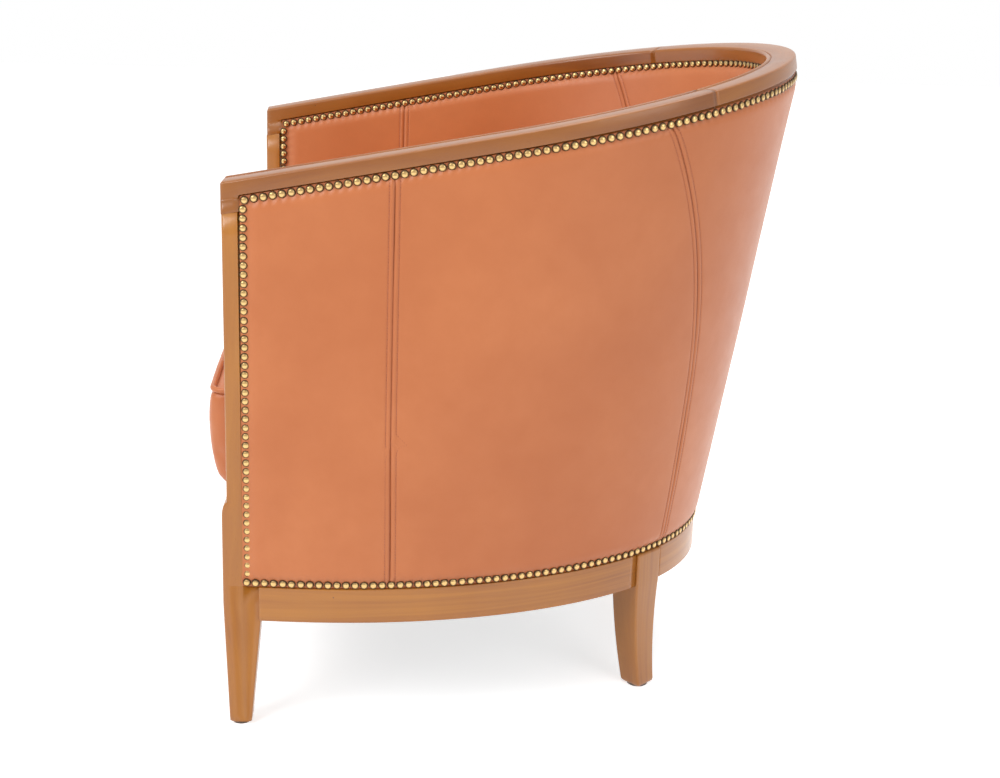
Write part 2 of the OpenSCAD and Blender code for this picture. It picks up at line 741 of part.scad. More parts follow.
place() front_leg(1);  // front_leg_right
place() front_leg(-1);  // front_leg_left
place() rear_leg_piece(1);  // rear_leg_right
place() rear_leg_piece(-1);  // rear_leg_left
place() arm_rail(1);  // arm_rail_right
place() arm_rail(-1);  // arm_rail_left
place() crest_rail();
place() seat_rail_front();
place() seat_rail_side(1);  // seat_rail_right
place() seat_rail_side(-1);  // seat_rail_left
place() seat_rail_back();
place() upright(side_u, 1);  // upright_side_right
place() upright(side_u, -1);  // upright_side_left
place() upright(leg_u, 1);  // upright_back_right
place() upright(leg_u, -1);  // upright_back_left
place() crest_dowels();
place() arm_dowels();
place() seat_rail_dowels();
place() corner_blocks();
place() block_screws();
place() webbing_lengthwise();
place() webbing_crosswise();
place() seat_hessian();
place() seat_foam();
place() seat_top_leather();
place() seat_border_leather();
place() seat_welt();
place() padding(0, -1);  // padding_in_front_right
place() padding(1, -1);  // padding_in_rear_right
place() padding(2, -1);  // padding_in_back
place() padding(3, -1);  // padding_in_rear_left
place() padding(4, -1);  // padding_in_front_left
place() padding(0, 1);  // padding_out_front_right
place() padding(1, 1);  // padding_out_rear_right
place() padding(2, 1);  // padding_out_back
place() padding(3, 1);  // padding_out_rear_left
place() padding(4, 1);  // padding_out_front_left
place() leather(0, -1);  // leather_in_front_right
place() leather(1, -1);  // leather_in_rear_right
place() leather(2, -1);  // leather_in_back
place() leather(3, -1);  // leather_in_rear_left
place() leather(4, -1);  // leather_in_front_left
place() leather(0, 1);  // leather_out_front_right
place() leather(1, 1);  // leather_out_rear_right
place() leather(2, 1);  // leather_out_back
place() leather(3, 1);  // leather_out_rear_left
place() leather(4, 1);  // leather_out_front_left
place() nails_rim_outside();
place() nails_rim_inside();
place() nails_base();
place() nails_post(1);  // nails_post_right
place() nails_post(-1);  // nails_post_left
place() nails_posts_inside();
place() nails_seat_front();
place() dust_cover();
place() glides();
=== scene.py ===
import math

import bpy
import numpy as np
from mathutils import Matrix, Vector


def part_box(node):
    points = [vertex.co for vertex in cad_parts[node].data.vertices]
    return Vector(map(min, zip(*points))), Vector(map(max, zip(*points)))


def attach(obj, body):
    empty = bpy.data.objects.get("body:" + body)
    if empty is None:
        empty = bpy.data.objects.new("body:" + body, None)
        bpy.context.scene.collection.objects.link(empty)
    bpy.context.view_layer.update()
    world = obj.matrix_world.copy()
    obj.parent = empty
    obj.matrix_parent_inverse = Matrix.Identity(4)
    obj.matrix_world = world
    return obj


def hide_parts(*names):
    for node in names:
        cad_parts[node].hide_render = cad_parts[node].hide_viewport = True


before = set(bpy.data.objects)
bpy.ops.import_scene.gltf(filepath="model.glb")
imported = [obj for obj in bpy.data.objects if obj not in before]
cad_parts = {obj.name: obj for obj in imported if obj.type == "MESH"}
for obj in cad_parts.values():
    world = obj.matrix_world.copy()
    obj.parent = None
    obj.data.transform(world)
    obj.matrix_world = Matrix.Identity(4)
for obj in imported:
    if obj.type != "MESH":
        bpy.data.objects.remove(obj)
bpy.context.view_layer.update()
print("frame in:", len(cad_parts), "nodes")

mm = 0.001
chair = dict(  # the wooden frame, as the frame's own pieces have it
    width=596 * mm, armHeight=660 * mm, rimRun=687 * mm, baseRun=588 * mm, rimTilt=math.radians(10.8),
    rimStraight=318 * mm, baseStraight=123 * mm, frontInset=7.5 * mm, railWidth=36 * mm,
    rimFace=17 * mm, rimTongue=18 * mm, baseFace=43 * mm, baseTongue=27 * mm, baseZ=140 * mm, rebate=4 * mm,
    postDepth=38 * mm, postStrip=18 * mm, shoulder=6 * mm, shoulderZ=286 * mm, jointU=1.45, legU=1.63)
leather = dict(thick=1.4 * mm, puff=4 * mm, roll=15 * mm, seamDrop=1.0 * mm, seamWidth=1.5 * mm,
               stitchOff=6 * mm, stitchDrop=0.45 * mm, tuft=0.5 * mm, wave=0.7 * mm,
               seamFrontY=164 * mm, seamTopY=457 * mm, seamBaseY=488 * mm, seamBow=38 * mm, insideLow=104 * mm)
nails = dict(head=9.8 * mm, pitch=10.5 * mm, edge=5.6 * mm, height=3.1 * mm, wobble=2.5, drift=0.22 * mm)
seat = dict(z=408 * mm, crown=34 * mm, bulge=29 * mm, tuckZ=280 * mm, welt=7 * mm, corner=13 * mm)

halfRail = chair["railWidth"] / 2
midA = chair["width"] / 2 - halfRail
tongue = halfRail - chair["rebate"]
skin = tongue + 2 * mm  # where the leather lies under the nails
frontY = -(chair["postStrip"] + nails["edge"])
postBack = frontY + chair["postDepth"]
postX = midA - chair["frontInset"]
rimBack = chair["rimRun"] - halfRail
baseBack = chair["baseRun"] - halfRail
leatherZ = chair["baseZ"] + chair["baseFace"]
edgeW = chair["rimFace"] + 1 * mm
rimH = chair["rimFace"] + chair["rimTongue"]
tilt = chair["rimTilt"]
seatFront = frontY - seat["bulge"]
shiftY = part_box("nails_post_right")[0][1] + nails["head"] / 2  # the frame's middle, from the nail column at y 0


# ---- the chair's curves ----
def planPoint(u, run, back):  # u is 0 at the right front, 2 behind, 4 at the left front
    u = np.asarray(u, float)
    v = np.where(u <= 2, u, 4 - u)
    turn = np.maximum(v - 1, 0) * math.pi / 2
    x = np.where(v < 1, midA - chair["frontInset"] * (1 - v) ** 2, midA * np.cos(turn))
    y = np.where(v < 1, frontY + v * run, frontY + run + (back - run) * np.sin(turn))
    return np.stack([np.where(u <= 2, x, -x), y], -1)


def outward(a, b):  # the plan direction square to a step from a to b
    t = b - a
    q = np.stack([t[..., 1], -t[..., 0]], -1)
    return q / np.linalg.norm(q, axis=-1, keepdims=True)


def rimPoint(u, n, w):
    u, n, w = np.broadcast_arrays(np.asarray(u, float), n, w)
    e = 0.002
    p = planPoint(u, chair["rimStraight"], rimBack)
    q = outward(planPoint(u - e, chair["rimStraight"], rimBack), planPoint(u + e, chair["rimStraight"], rimBack))
    p = p + n[..., None] * q
    s = p[..., 1] - frontY
    return np.stack([p[..., 0], frontY + s * math.cos(tilt) + w * math.sin(tilt),
                     chair["armHeight"] + s * math.sin(tilt) - w * math.cos(tilt)], -1)


def basePoint(u, n, z):
    u, n, z = np.broadcast_arrays(np.asarray(u, float), n, z)
    e = 0.002
    p = planPoint(u, chair["baseStraight"], baseBack)
    q = outward(planPoint(u - e, chair["baseStraight"], baseBack), planPoint(u + e, chair["baseStraight"], baseBack))
    p = p + n[..., None] * q
    return np.stack([p[..., 0], p[..., 1], z], -1)


def wallMid(u, h):
    low = basePoint(u, 0.0, leatherZ)
    return low + (rimPoint(u, 0.0, edgeW) - low) * np.asarray(h)[..., None]


def wallOut(u, h):
    q = outward(wallMid(u - 0.002, h)[..., :2], wallMid(u + 0.002, h)[..., :2])
    return np.concatenate([q, np.zeros(q.shape[:-1] + (1,))], -1)


def wallPoint(u, h, n):
    u, h, n = np.broadcast_arrays(np.asarray(u, float), h, n)
    return wallMid(u, h) + n[..., None] * wallOut(u, h)


def wallLength(u):
    return np.linalg.norm(rimPoint(u, 0.0, edgeW) - basePoint(u, 0.0, leatherZ), axis=-1)


def uAt(y, h):  # the place on the right wall that is y behind the nails of the post
    h = np.asarray(h, float)
    run = chair["baseStraight"] + (chair["rimStraight"] * math.cos(tilt) - chair["baseStraight"]) * h
    back = baseBack + (rimBack * math.cos(tilt) - baseBack) * h
    q = np.asarray(y) - frontY
    turn = np.arcsin(np.clip((q - run) / (back - run), 0, 1)) / (math.pi / 2)
    return np.where(q < run, q / run, 1 + turn)


def edgeU(k, h):  # edge k of the five panels, from the right post round to the left post
    if k > 2:
        return 4 - edgeU(5 - k, h)
    h = np.asarray(h, float)
    y = (-nails["edge"], leather["seamFrontY"],
         leather["seamBaseY"] + (leather["seamTopY"] - leather["seamBaseY"]) * h
         + leather["seamBow"] * np.sin(math.pi * np.clip(h, 0, 1) ** 1.25) ** 0.8)[k]
    return uAt(y, h)


# ---- meshes ----
def newMesh(name, verts, faces, uvs=None, attributes=None, smooth=True):
    verts = np.asarray(verts, float).reshape(-1, 3) + np.array([0, shiftY, 0])
    mesh = bpy.data.meshes.new(name)
    mesh.from_pydata(verts.tolist(), [], [list(map(int, f)) for f in faces])
    mesh.validate()
    if uvs is not None:
        layer = mesh.uv_layers.new(name="UVMap")
        loopVerts = np.empty(len(mesh.loops), int)
        mesh.loops.foreach_get("vertex_index", loopVerts)
        layer.data.foreach_set("uv", np.asarray(uvs, float).reshape(-1, 2)[loopVerts].ravel())
    for key, values in (attributes or {}).items():
        item = mesh.attributes.new(key, "FLOAT", "POINT")
        item.data.foreach_set("value", np.asarray(values, float).ravel())
    mesh.polygons.foreach_set("use_smooth", [smooth] * len(mesh.polygons))
    piece = bpy.data.objects.new(name, mesh)
    bpy.context.scene.collection.objects.link(piece)
    return piece


def fixNormals(piece):
    bpy.context.view_layer.objects.active = piece
    piece.select_set(True)
    bpy.ops.object.mode_set(mode="EDIT")
    bpy.ops.mesh.select_all(action="SELECT")
    bpy.ops.mesh.normals_make_consistent(inside=False)
    bpy.ops.object.mode_set(mode="OBJECT")
    piece.select_set(False)
    return piece


def shellFaces(m, k):  # two grids of m by k points, joined round their edges
    g = np.arange(m * k).reshape(m, k)
    o = m * k
    faces = [(g[i, j], g[i + 1, j], g[i + 1, j + 1], g[i, j + 1]) for i in range(m - 1) for j in range(k - 1)]
    faces += [tuple(o + q for q in f[::-1]) for f in faces]
    rim = list(g[:, 0]) + list(g[-1, 1:]) + list(g[-2::-1, -1]) + list(g[0, -2:0:-1])
    faces += [(a, a + o, b + o, b) for a, b in zip(rim, rim[1:] + rim[:1])]
    return faces


def sweepFaces(m, k):  # m rings of k points with closed ends
    faces = [(i * k + j, (i + 1) * k + j, (i + 1) * k + (j + 1) % k, i * k + (j + 1) % k)
             for i in range(m - 1) for j in range(k)]
    return faces + [tuple(range(k)), tuple((m - 1) * k + j for j in range(k - 1, -1, -1))]


def sweep(name, rings, offset=0.0):  # UVs run along the sweep and round it, in metres
    rings = np.asarray(rings, float)
    m, k = rings.shape[:2]
    centre = rings.mean(1)
    along = np.concatenate([[0], np.cumsum(np.linalg.norm(np.diff(centre, axis=0), axis=1))])
    girth = np.concatenate([[0], np.cumsum(np.linalg.norm(np.diff(rings[m // 2], axis=0), axis=1))])
    uv = np.stack(np.meshgrid(along + offset, girth + offset, indexing="ij"), -1)
    return fixNormals(newMesh(name, rings, sweepFaces(m, k), uv))


def rounded(points, radii, seg=4):  # rounds the corners of a closed outline
    pts = [np.array(p, float) for p in points]
    out = []
    for i, p in enumerate(pts):
        r = radii[i] if hasattr(radii, "__len__") else radii
        a = pts[i - 1] - p
        b = pts[(i + 1) % len(pts)] - p
        la, lb = np.linalg.norm(a), np.linalg.norm(b)
        r = min(r, la * 0.45, lb * 0.45)
        if r <= 0:
            out += [p] * (seg + 1)
            continue
        for t in np.linspace(0, 1, seg + 1):
            out.append((1 - t) ** 2 * (p + a / la * r) + 2 * t * (1 - t) * p + t * t * (p + b / lb * r))
    return np.array(out)


# ---- shader maths ----
class Wire:  # a socket that adds Math nodes when it is used in a sum
    def __init__(self, tree, socket):
        self.tree, self.socket = tree, socket

    def math(self, operation, *values, clamp=False):
        node = self.tree.nodes.new("ShaderNodeMath")
        node.operation, node.use_clamp = operation, clamp
        for slot, value in zip(node.inputs, values):
            plug(self.tree, slot, value)
        return Wire(self.tree, node.outputs[0])

    def __add__(self, other): return self.math("ADD", self, other)
    def __radd__(self, other): return self.math("ADD", other, self)
    def __sub__(self, other): return self.math("SUBTRACT", self, other)
    def __rsub__(self, other): return self.math("SUBTRACT", other, self)
    def __mul__(self, other): return self.math("MULTIPLY", self, other)
    def __rmul__(self, other): return self.math("MULTIPLY", other, self)
    def __truediv__(self, other): return self.math("DIVIDE", self, other)
    def __pow__(self, other): return self.math("POWER", self, other)
    def over(self, other): return self.math("GREATER_THAN", self, other)
    def under(self, other): return self.math("LESS_THAN", self, other)
    def clamped(self): return self.math("ADD", self, 0.0, clamp=True)


def plug(tree, slot, value):
    if isinstance(value, Wire):
        tree.links.new(value.socket, slot)
    elif value is not None:
        slot.default_value = value


class Finish:  # a material and the nodes that make it
    def __init__(self, name):
        self.material = bpy.data.materials.new(name)
        self.material.use_nodes = True
        self.tree = self.material.node_tree
        self.shader = self.tree.nodes["Principled BSDF"]

    def node(self, kind, settings=None, out=0, **values):
        item = self.tree.nodes.new("ShaderNode" + kind)
        for key, value in (settings or {}).items():
            if key == "stops":
                ramp = item.color_ramp
                while len(ramp.elements) < len(value):
                    ramp.elements.new(0.5)
                for element, (place, colour) in zip(ramp.elements, value):
                    element.position, element.color = place, (*colour, 1)
            else:
                setattr(item, key, value)
        for key, value in values.items():
            slot = item.inputs[int(key[1:])] if key[1:].isdigit() else item.inputs[key.replace("_", " ")]
            plug(self.tree, slot, value)
        return Wire(self.tree, item.outputs[out])

    def blend(self, factor, first, second, mode="MIX"):  # a colour mix
        item = self.tree.nodes.new("ShaderNodeMix")
        item.data_type, item.blend_type = "RGBA", mode
        plug(self.tree, item.inputs[0], factor)
        for slot, value in ((item.inputs[6], first), (item.inputs[7], second)):
            plug(self.tree, slot, (*value, 1) if isinstance(value, tuple) and len(value) == 3 else value)
        return Wire(self.tree, item.outputs[2])

    def objectCoords(self):
        return self.node("TexCoord", out=3)

    def uvCoords(self):
        return self.node("TexCoord", out=2)

    def scaled(self, coords, scale, turn=(0, 0, 0)):
        return self.node("Mapping", Vector=coords, Scale=scale, Rotation=turn)

    def noise(self, coords, scale, detail=2.0, rough=0.5):
        return self.node("TexNoise", Vector=coords, Scale=scale, Detail=detail, Roughness=rough)

    def bump(self, height, distance, strength=1.0, normal=None):
        return self.node("Bump", Height=height, Distance=distance, Strength=strength, Normal=normal)

    def set(self, **values):
        for key, value in values.items():
            name = "".join(" " + c if c.isupper() else c for c in key).strip()
            name = name[0].upper() + name[1:]
            name = "Specular IOR Level" if name == "Specular" else name
            value = (*value, 1) if name in ("Base Color", "Coat Tint", "Sheen Tint") and isinstance(value, tuple) \
                else value
            plug(self.tree, self.shader.inputs[name], value)
        return self.material


# the valley colour is painted shade for the seam valleys and the nail lines
leatherLook = dict(colour=(0.54, 0.165, 0.050), warm=(0.62, 0.21, 0.075), deep=(0.43, 0.115, 0.032),
                   valley=(0.30, 0.075, 0.022), rough=0.43, grain=1500, pores=0.055 * mm)


def makeLeather():
    look = leatherLook
    f = Finish("tan leather")
    at = f.objectCoords()
    cloud = f.noise(at, 5.0, 3.0, 0.55)
    mottle = f.noise(at, 42.0, 4.0, 0.6)
    mix = f.blend(((cloud - 0.5) * 2.6 + 0.5).clamped(), look["deep"], look["warm"])
    colour = f.blend(0.55, mix, look["colour"])
    colour = f.blend(((mottle - 0.5) * 1.3 + 0.35).clamped() * 0.35, colour, look["deep"])
    # painted shade: the leather turns darker where the valley mask is high, in the seam valleys and along the nail rows
    valley = f.node("Attribute", {"attribute_name": "valley"}, out=2)
    colour = f.blend(valley * 0.8, colour, look["valley"])
    cells = f.node("TexVoronoi", {"feature": "F1"}, Vector=at, Scale=look["grain"])
    cells2 = f.node("TexVoronoi", {"feature": "F1"}, Vector=at, Scale=look["grain"] * 0.43)
    crease = f.noise(at, 160.0, 3.0, 0.6)
    height = cells * 0.6 + cells2 * 0.6 + crease * 0.9
    rough = look["rough"] + (mottle - 0.5) * 0.16 + (cells - 0.3) * 0.08
    return f.set(baseColor=colour, roughness=rough, specular=0.42, coatWeight=0.10, coatRoughness=0.35,
                 sheenWeight=0.06, sheenRoughness=0.4, normal=f.bump(height, look["pores"]))


woodLook = dict(light=(0.47, 0.180, 0.018), mid=(0.36, 0.122, 0.012), dark=(0.19, 0.052, 0.006),
                speck=(0.05, 0.015, 0.006), rough=0.33)


# the darkening and reddening factors make darker, redder copies of the wood: painted shade
def makeWood(name, shadeDarken=1.0, shadeRedden=0.0):
    look = woodLook
    tint = lambda c: (c[0] * shadeDarken, c[1] * shadeDarken * (1 - shadeRedden), c[2] * shadeDarken * (1 - shadeRedden))
    f = Finish(name)
    at, uv = f.objectCoords(), f.uvCoords()
    long = f.scaled(uv, (1.6, 26.0, 1.0))
    bend = f.noise(f.scaled(uv, (2.5, 5.0, 1.0)), 1.0, 2.0)
    streak = f.noise(f.node("VectorMath", {"operation": "ADD"}, i0=long, i1=f.node(
        "CombineXYZ", X=bend * 0.5, Y=bend * 2.2)), 1.0, 5.0, 0.62)
    fleck = f.noise(f.scaled(uv, (110.0, 1300.0, 1.0)), 1.0, 2.0, 0.5)
    patch = f.noise(at, 7.0, 2.0, 0.5)
    ramp = f.node("ValToRGB", {"stops": [(0.28, tint(look["dark"])), (0.47, tint(look["mid"])),
                                         (0.72, tint(look["light"]))]}, Fac=streak * 0.75 + patch * 0.3)
    flecks = ((fleck - 0.62) * 7.0).clamped()
    colour = f.blend(flecks * 0.35, ramp, tint(look["dark"]))
    spots = f.node("TexVoronoi", Vector=at, Scale=70.0)
    lucky = f.node("SeparateColor", i0=f.node("TexVoronoi", Vector=at, Scale=70.0, out=1))
    dots = spots.under(0.055) * lucky.over(0.78)
    colour = f.blend(dots * 0.85, colour, look["speck"])
    worn = f.noise(at, 28.0, 4.0, 0.6)
    height = streak * 0.5 + fleck * 0.25 - dots * 2.0 + worn * 0.6
    return f.set(baseColor=colour, roughness=look["rough"] + (worn - 0.5) * 0.14 + flecks * 0.12,
                 coatWeight=0.22, coatRoughness=0.16, specular=0.5, normal=f.bump(height, 0.06 * mm))


def makeBrass():
    f = Finish("aged brass")
    at = f.objectCoords()
    edge = f.node("Attribute", {"attribute_name": "edge"}, out=2)
    patina = f.noise(at, 420.0, 3.0, 0.6)
    # the heads turn darker, rougher and less metallic from the middle of the dome out to the rim, broken up by patina
    # noise
    rimDarkening = ((edge - 0.5) * 3.0 + (patina - 0.5) * 0.8).clamped()
    colour = f.blend(rimDarkening, (0.54, 0.36, 0.15), (0.06, 0.03, 0.01))
    return f.set(baseColor=colour, metallic=1 - rimDarkening * 0.5, roughness=0.20 + rimDarkening * 0.4 + (patina - 0.5) * 0.1,
                 normal=f.bump(patina, 0.05 * mm))


def makeThread():
    f = Finish("stitching thread")
    strand = f.node("TexWave", {"bands_direction": "DIAGONAL"}, Vector=f.objectCoords(), Scale=1400.0)
    colour = f.blend(strand, (0.33, 0.075, 0.022), (0.46, 0.13, 0.045))
    return f.set(baseColor=colour, roughness=0.62, sheenWeight=0.2, normal=f.bump(strand, 0.08 * mm))


def makePlainWood():
    f = Finish("unfinished beech")
    at = f.objectCoords()
    grain = f.noise(f.scaled(at, (60.0, 60.0, 3.0)), 1.0, 4.0, 0.6)
    colour = f.blend(grain, (0.44, 0.27, 0.14), (0.70, 0.50, 0.30))
    return f.set(baseColor=colour, roughness=0.62 + (grain - 0.5) * 0.2, normal=f.bump(grain, 0.15 * mm))


def makeCloth(name, light, dark, threads, fuzz=0.25, rough=0.9):
    f = Finish(name)
    at = f.objectCoords()
    warp = f.node("TexWave", {"bands_direction": "X"}, Vector=at, Scale=threads, Distortion=0.6)
    weft = f.node("TexWave", {"bands_direction": "Y"}, Vector=at, Scale=threads, Distortion=0.6)
    slub = f.noise(at, 90.0, 3.0)
    weave = warp * weft
    colour = f.blend((weave * 0.8 + slub * 0.3).clamped(), dark, light)
    return f.set(baseColor=colour, roughness=rough + (slub - 0.5) * 0.1, sheenWeight=fuzz,
                 normal=f.bump(weave + slub * 0.4, 0.35 * mm))


def makeFoam():
    f = Finish("upholstery foam")
    cells = f.node("TexVoronoi", Vector=f.objectCoords(), Scale=700.0)
    return f.set(baseColor=f.blend(cells, (0.62, 0.52, 0.30), (0.80, 0.71, 0.47)), roughness=0.9 + cells * 0.05,
                 normal=f.bump(cells, 0.4 * mm))


def makeSteel():
    f = Finish("zinc plated steel")
    scuff = f.noise(f.objectCoords(), 300.0, 3.0)
    return f.set(baseColor=f.blend(scuff, (0.45, 0.45, 0.46), (0.66, 0.66, 0.68)), metallic=1.0,
                 roughness=0.3 + scuff * 0.2, normal=f.bump(scuff, 0.05 * mm))


looks = dict(
    # the rim and crest finishes are darker, redder copies of the frame wood: painted shade for the light falling on the
    # rim's top
    leather=makeLeather(), wood=makeWood("satin beech"), rimWood=makeWood("satin beech rim painted shade", 0.74, 0.10),
    crestWoodPaintedShade=makeWood("satin beech crest painted shade", 0.80, 0.08), brass=makeBrass(), thread=makeThread(),
    plainWood=makePlainWood(), foam=makeFoam(), steel=makeSteel(),
    wadding=makeCloth("wadding", (0.86, 0.84, 0.80), (0.70, 0.68, 0.64), 60.0),
    webbing=makeCloth("webbing", (0.16, 0.13, 0.11), (0.03, 0.025, 0.02), 380.0),
    hessian=makeCloth("hessian", (0.52, 0.39, 0.22), (0.22, 0.15, 0.08), 420.0),
    dustCloth=makeCloth("dust cloth", (0.045, 0.043, 0.04), (0.012, 0.012, 0.012), 900.0),
    felt=makeCloth("pressed felt", (0.20, 0.15, 0.11), (0.10, 0.07, 0.05), 800.0, 0.5))
print("finishes made:", len(looks))


def dress(piece, look):
    piece.data.materials.clear()
    piece.data.materials.append(look)
    return piece


def fit(piece, slot, *nodes, pad=None):
    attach(piece, "root")
    if nodes:
        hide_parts(*nodes)
    return piece


# ---- wood ----
wood = dict(rimSteps=120, baseSteps=70, gap=0.12 * mm)


def rimSection(covered=True):  # outwards and down from the top, from the outer foot round
    half = halfRail
    inner = tongue if covered else half
    step = chair["rimFace"] if covered else chair["rimFace"] + 4 * mm
    bead = [(7 * mm - half, 0.5 * mm), (6.5 * mm - half, 2.4 * mm), (5.5 * mm - half, 2.5 * mm),
            (4.9 * mm - half, 0.6 * mm), (3 * mm - half, -0.9 * mm), (1 * mm - half, 0.2 * mm)]
    pts = [(inner, rimH), (inner, step), (half, chair["rimFace"]), (half, 1.6 * mm), (half - 1.8 * mm, 0.1 * mm),
           (half - 7 * mm, -0.5 * mm), (half - 17 * mm, -0.6 * mm)] + bead + \
          [(-half, 2.0 * mm), (-half, chair["rimFace"]), (-inner, step), (-inner, rimH)]
    radii = [0.5 * mm, 0, 0.9 * mm, 1.0 * mm, 1.2 * mm, 3 * mm, 3 * mm, 0.7 * mm, 0.5 * mm, 0.4 * mm, 0.6 * mm,
             1.2 * mm, 1.0 * mm, 1.2 * mm, 0.9 * mm, 0, 0.5 * mm]
    return rounded(pts, radii, 3)


def rimRings(us, section):
    return [rimPoint(u, section[:, 0], section[:, 1]) for u in us]


def makeRims():
    stripU = chair["postStrip"] / chair["rimStraight"] / math.cos(tilt)
    full, cut = rimSection(False), rimSection(True)
    # the front end is rounded over: the first rings draw in
    end = []
    for t in np.linspace(0, 1, 7)[:-1]:
        lift = 3.5 * mm * (1 - math.sin(t * math.pi / 2))
        shrink = np.stack([np.clip(full[:, 0], -halfRail + lift, halfRail - lift),
                           np.clip(full[:, 1], lift * 1.2 - 0.9 * mm, rimH)], -1)
        end.append((3.5 * mm * (1 - math.cos(t * math.pi / 2)) / chair["rimStraight"], shrink))
    upright = lambda u, w: u - w * math.tan(tilt) / chair["rimStraight"]  # keeps the end face vertical
    rings = [rimPoint(upright(u, s[:, 1]), s[:, 0], s[:, 1]) for u, s in end]
    rings += [rimPoint(upright(u, full[:, 1]), full[:, 0], full[:, 1])
              for u in np.linspace(4 * mm / chair["rimStraight"], stripU, 4)]
    rings += rimRings(np.linspace(stripU + 0.001, chair["jointU"] - 0.0002, wood["rimSteps"]), cut)
    right = sweep("arm_rail_cover_right", rings, 0.3)
    left = sweep("arm_rail_cover_left", [r * np.array([-1, 1, 1]) for r in rings], 2.1)
    crest = sweep("crest_cover", rimRings(
        np.linspace(chair["jointU"] + 0.0002, 4 - chair["jointU"] - 0.0002, wood["rimSteps"]), cut), 4.7)
    fit(dress(right, looks["rimWood"]), "show_wood", "arm_rail_right")
    fit(dress(left, looks["rimWood"]), "show_wood", "arm_rail_left")
    fit(dress(crest, looks["crestWoodPaintedShade"]), "show_wood", "crest_rail")


def baseSection():
    z0, z1, z2 = chair["baseZ"], leatherZ, leatherZ + chair["baseTongue"]
    pts = [(halfRail, z0), (-halfRail, z0), (-halfRail, z1), (-tongue, z1), (-tongue, z2), (tongue, z2),
           (tongue, z1), (halfRail, z1)]
    return rounded(pts, [2.2 * mm, 1.5 * mm, 1 * mm, 0, 1 * mm, 1 * mm, 0, 1.3 * mm], 4)


rearLeg = dict(top=42 * mm, foot=30 * mm, sweep=15 * mm, proud=2.5 * mm, glide=2 * mm)


def localFrame(u, side):  # the place of a rear leg: its middle, outward and along
    p = basePoint(u, 0.0, 0.0)
    a = basePoint(u - 0.002, 0.0, 0.0)
    b = basePoint(u + 0.002, 0.0, 0.0)
    out = np.append(outward(a[:2], b[:2]), 0)
    along = np.array([-out[1], out[0], 0])
    flip = np.array([side, 1, 1])
    return p * flip, out * flip, along * flip


def uNear(distance):  # the u that lies this far along the base from the rear leg's middle
    us = np.linspace(chair["legU"] - 0.3, chair["legU"] + 0.3, 601)
    p, out, along = localFrame(chair["legU"], 1)
    reach = (basePoint(us, 0.0, 0.0) - p) @ along
    return float(np.interp(distance, reach, us))


def makeBaseRails():
    section = baseSection()
    half = rearLeg["top"] / 2 + wood["gap"]
    front = float(uAt(postBack + 0.1 * mm, 0.0))
    us = np.linspace(front, uNear(-half), wood["baseSteps"])
    rings = [basePoint(u, section[:, 0], section[:, 1]) for u in us]
    for side, name in ((1, "right"), (-1, "left")):
        piece = sweep("seat_rail_cover_" + name, [r * np.array([side, 1, 1]) for r in rings], 6 + side)
        fit(dress(piece, looks["wood"]), "show_wood", "seat_rail_" + name)
    us = np.linspace(uNear(half), 4 - uNear(half), wood["baseSteps"])
    piece = sweep("seat_rail_cover_back", [basePoint(u, section[:, 0], section[:, 1]) for u in us], 8.3)
    fit(dress(piece, looks["wood"]), "show_wood", "seat_rail_back")
    lo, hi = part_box("seat_rail_front")
    y0, y1 = lo[1] - shiftY, hi[1] - shiftY
    pts = rounded([(y0, chair["baseZ"]), (y1, chair["baseZ"]), (y1, leatherZ + chair["baseTongue"]),
                   (y0 + chair["rebate"], leatherZ + chair["baseTongue"]), (y0 + chair["rebate"], leatherZ),
                   (y0, leatherZ)], [2.2 * mm, 1.5 * mm, 1 * mm, 1 * mm, 0, 1.3 * mm], 4)
    xs = np.linspace(-(postX - halfRail) + wood["gap"], postX - halfRail - wood["gap"], 24)
    piece = sweep("seat_rail_cover_front", [np.stack([np.full(len(pts), x), pts[:, 0], pts[:, 1]], -1) for x in xs], 9.9)
    fit(dress(piece, looks["wood"]), "show_wood", "seat_rail_front")


def frontLegRing(z):
    glide, foot = 2 * mm, 26 * mm
    legFront = frontY - chair["shoulder"]
    topZ = chair["shoulderZ"]
    lowZ = topZ - 18 * mm
    if z >= topZ:
        yf = frontY
    elif z > lowZ:
        t = math.acos(min(1, (z - lowZ) / (topZ - lowZ)))
        yf = frontY - chair["shoulder"] * math.sin(t)
    else:
        yf = legFront
    yb, half = postBack, halfRail
    if z < chair["baseZ"]:
        t = (chair["baseZ"] - z) / (chair["baseZ"] - glide)
        yb = postBack + (legFront + 5 * mm + foot - postBack) * t
        half = halfRail + (foot / 2 - halfRail) * t
    lift = max(0.0, 3 * mm - (z - glide))  # eased foot
    if z < chair["baseZ"] + 20 * mm:
        yf = legFront + 5 * mm * (chair["baseZ"] + 20 * mm - z) / (chair["baseZ"] + 20 * mm - glide)
    side = tongue if z > leatherZ else half
    mid = frontY + chair["postStrip"]
    pts = [(half - lift, yf + lift), (half - lift, mid), (side - lift * (z <= leatherZ), mid + 0.01 * mm),
           (side - lift * (z <= leatherZ), yb - lift), (-side + lift * (z <= leatherZ), yb - lift),
           (-side + lift * (z <= leatherZ), mid + 0.01 * mm), (-half + lift, mid), (-half + lift, yf + lift)]
    radii = [3.6 * mm, 0.8 * mm * (z > leatherZ), 0, 1.5 * mm, 1.5 * mm, 0, 0.8 * mm * (z > leatherZ), 3.6 * mm]
    ring = rounded(pts, radii, 4)
    return ring


